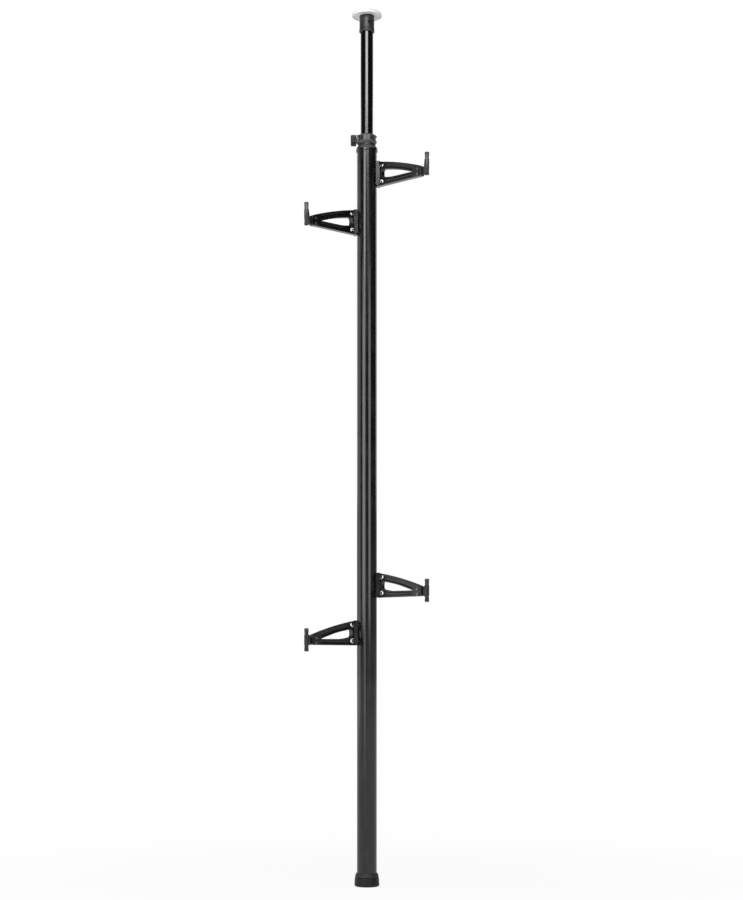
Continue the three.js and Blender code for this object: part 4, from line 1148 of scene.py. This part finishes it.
def grip_sleeve():
    start, end = GRIP.start, STOP.front - STOP.thickness - GAP
    half = CRADLE.height / 2 + GAP
    low, high = CRADLE.centre - half, CRADLE.centre + half
    bottom, top = low - GRIP.cover, high + GRIP.cover
    middle, dip = (start + end) / 2, 2 * GRIP.sag
    outline = parabola((start, bottom), (middle, bottom + dip), (end, bottom), 24)
    outline += parabola((end, top), (middle, top - dip), (start, top), 24)
    inner = CRADLE.beam / 2 + GAP
    outer = inner + GRIP.side
    rounds = GRIP.round, GRIP.round
    sleeve = prism("grip", [outline], -outer, outer, rounds, moved(CRADLE_OFFSET) @ SIDEWAYS, 6)
    cut(sleeve, block("beam_room", (CRADLE_OFFSET - inner, -end - OVERRUN, low),
                      (CRADLE_OFFSET + inner, -start + OVERRUN, high)))
    return sleeve


def arms():
    pieces = {
        "arm": (arm_body(), "black_casting", None),
        "root_bolt_low": (root_bolt(BOLT_LEVELS[0]), "zinc_steel", "bolt_steel"),
        "root_bolt_high": (root_bolt(BOLT_LEVELS[1]), "zinc_steel", "bolt_steel"),
        "cradle": (cradle_body(), "dark_plastic", "cradle"),
        "cradle_grip": (grip_sleeve(), "dark_rubber", None),
        "cradle_screw_low": (tip_screw(TIP_SCREW_LEVELS[0]), "spring_steel", "bolt_steel"),
        "cradle_screw_high": (tip_screw(TIP_SCREW_LEVELS[1]), "spring_steel", "bolt_steel"),
    }
    for place in ("upper_left", "upper_right", "lower_left", "lower_right"):
        lift = Matrix.Translation((0, 0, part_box(f"arm_{place}")[0].z))
        for name, (source, slot, finish) in pieces.items():
            mesh = source.data.copy()
            mesh.transform(lift)
            if place.endswith("left"):
                mesh.transform(Matrix.Scale(-1, 4, (1, 0, 0)))
                mesh.flip_normals()
            copy = linked(f"{name}_{place}_detail", mesh)
            dressed(copy, f"arm_{place}", f"{name}_{place}", slot, finish)
        kept_finish(f"slot_bar_{place}", "zinc_steel")
    for source, _, _ in pieces.values():
        bpy.data.objects.remove(source)


# Solids that stay.

def kept_finish(node, finish):
    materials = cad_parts[node].data.materials
    materials.clear()
    materials.append(FINISHES[finish])


def inner_pieces():
    for node in ("mast_guide", "spring_seat", "ceiling_stem"):
        kept_finish(node, "dark_plastic")
    for node in ("clamp_stud", "plate_screw"):
        kept_finish(node, "zinc_steel")
    kept_finish("cup_screw", "black_steel")
    kept_finish("clamp_insert", "brass")
    kept_finish("clamp_shoe", "pale_plastic")


# Surroundings, floor, lamps and camera.

def surroundings():
    """World: dim even light, white to the camera; glosses see it pale behind and below the tower."""
    scene.world = bpy.data.worlds.new("studio")
    nodes = Nodes(scene.world)
    camera_ray, mirrored = nodes.rays()
    ray = nodes.parts(nodes.add("TexCoord").outputs["Generated"])
    behind, far, below = (
        nodes.ranged(ray[axis], *stretch, "SMOOTHSTEP")
        for axis, stretch in (("Y", BEHIND), ("Y", FAR_BEHIND), ("Z", BELOW))
    )
    pale = nodes.maths("MAXIMUM", nodes.times(behind, far), below)
    dim = nodes.add("Mix", {0: mirrored, 2: DIM_LIGHT, 3: pale}).outputs[0]
    strength = nodes.maths("MAXIMUM", camera_ray, dim)
    light = nodes.add("Background", {"Color": (1, 1, 1), "Strength": strength}).outputs[0]
    nodes.give(nodes.tree.nodes["World Output"].inputs["Surface"], light)


def pale_floor():
    """Floor that fades to the white backdrop, and keeps a faint shadow near the tower."""
    corners = [(x * FLOOR_HALF, y * FLOOR_HALF, 0) for x, y in ((-1, -1), (1, -1), (1, 1), (-1, 1))]
    mesh = bpy.data.meshes.new("floor")
    mesh.from_pydata(corners, [], [(0, 1, 2, 3)])
    floor = linked("floor", mesh)
    nodes = Finish("pale_floor", FLOOR_TONE, FLOOR_ROUGHNESS, specular=0.0)
    camera_ray, mirrored = nodes.rays()
    fade = nodes.ranged(nodes.length(nodes.place), *FLOOR_FADE, "SMOOTHSTEP")
    share = nodes.times(nodes.maths("MAXIMUM", camera_ray, mirrored), fade)
    glow = nodes.add("Emission", {"Strength": 1.0}).outputs[0]
    plain = nodes.tree.nodes["Principled BSDF"].outputs[0]
    mix = nodes.add("MixShader", {0: share, 1: plain, 2: glow}).outputs[0]
    nodes.give(nodes.tree.nodes["Material Output"].inputs["Surface"], mix)
    mesh.materials.append(nodes.material)


def lamps():
    for name, (azimuth, distance, height, aim, size, radiance) in LAMPS.items():
        turn = radians(azimuth)
        place = Vector((distance * sin(turn), -distance * cos(turn), height))
        lamp = bpy.data.lights.new(name, "AREA")
        lamp.shape = "RECTANGLE"
        lamp.size, lamp.size_y = size
        lamp.energy = radiance * pi * size[0] * size[1]
        holder = linked(name, lamp)
        holder.location = place
        holder.rotation_euler = (place - Vector((0, 0, aim))).to_track_quat("Z", "Y").to_euler()


def camera():
    data = bpy.data.cameras.new("camera")
    data.lens, data.sensor_width = CAMERA_LENS, CAMERA_SENSOR
    data.shift_y = (HORIZON_ROW - PHOTO_HEIGHT / 2) / max(PHOTO_WIDTH, PHOTO_HEIGHT)
    data.clip_end = 100
    view = linked("camera", data)
    view.location = CAMERA_PLACE
    view.rotation_euler = (radians(90), 0, 0)
    scene.camera = view


for build in (
    foot_boot, foot_socket, column_and_mast, column_cap, clamp_collar, clamp_knob, ceiling_cup,
    ceiling_plate, ceiling_pad, tension_spring, arms, inner_pieces, surroundings, pale_floor, lamps, camera,
):
    build()
scene.view_settings.view_transform = "Standard"
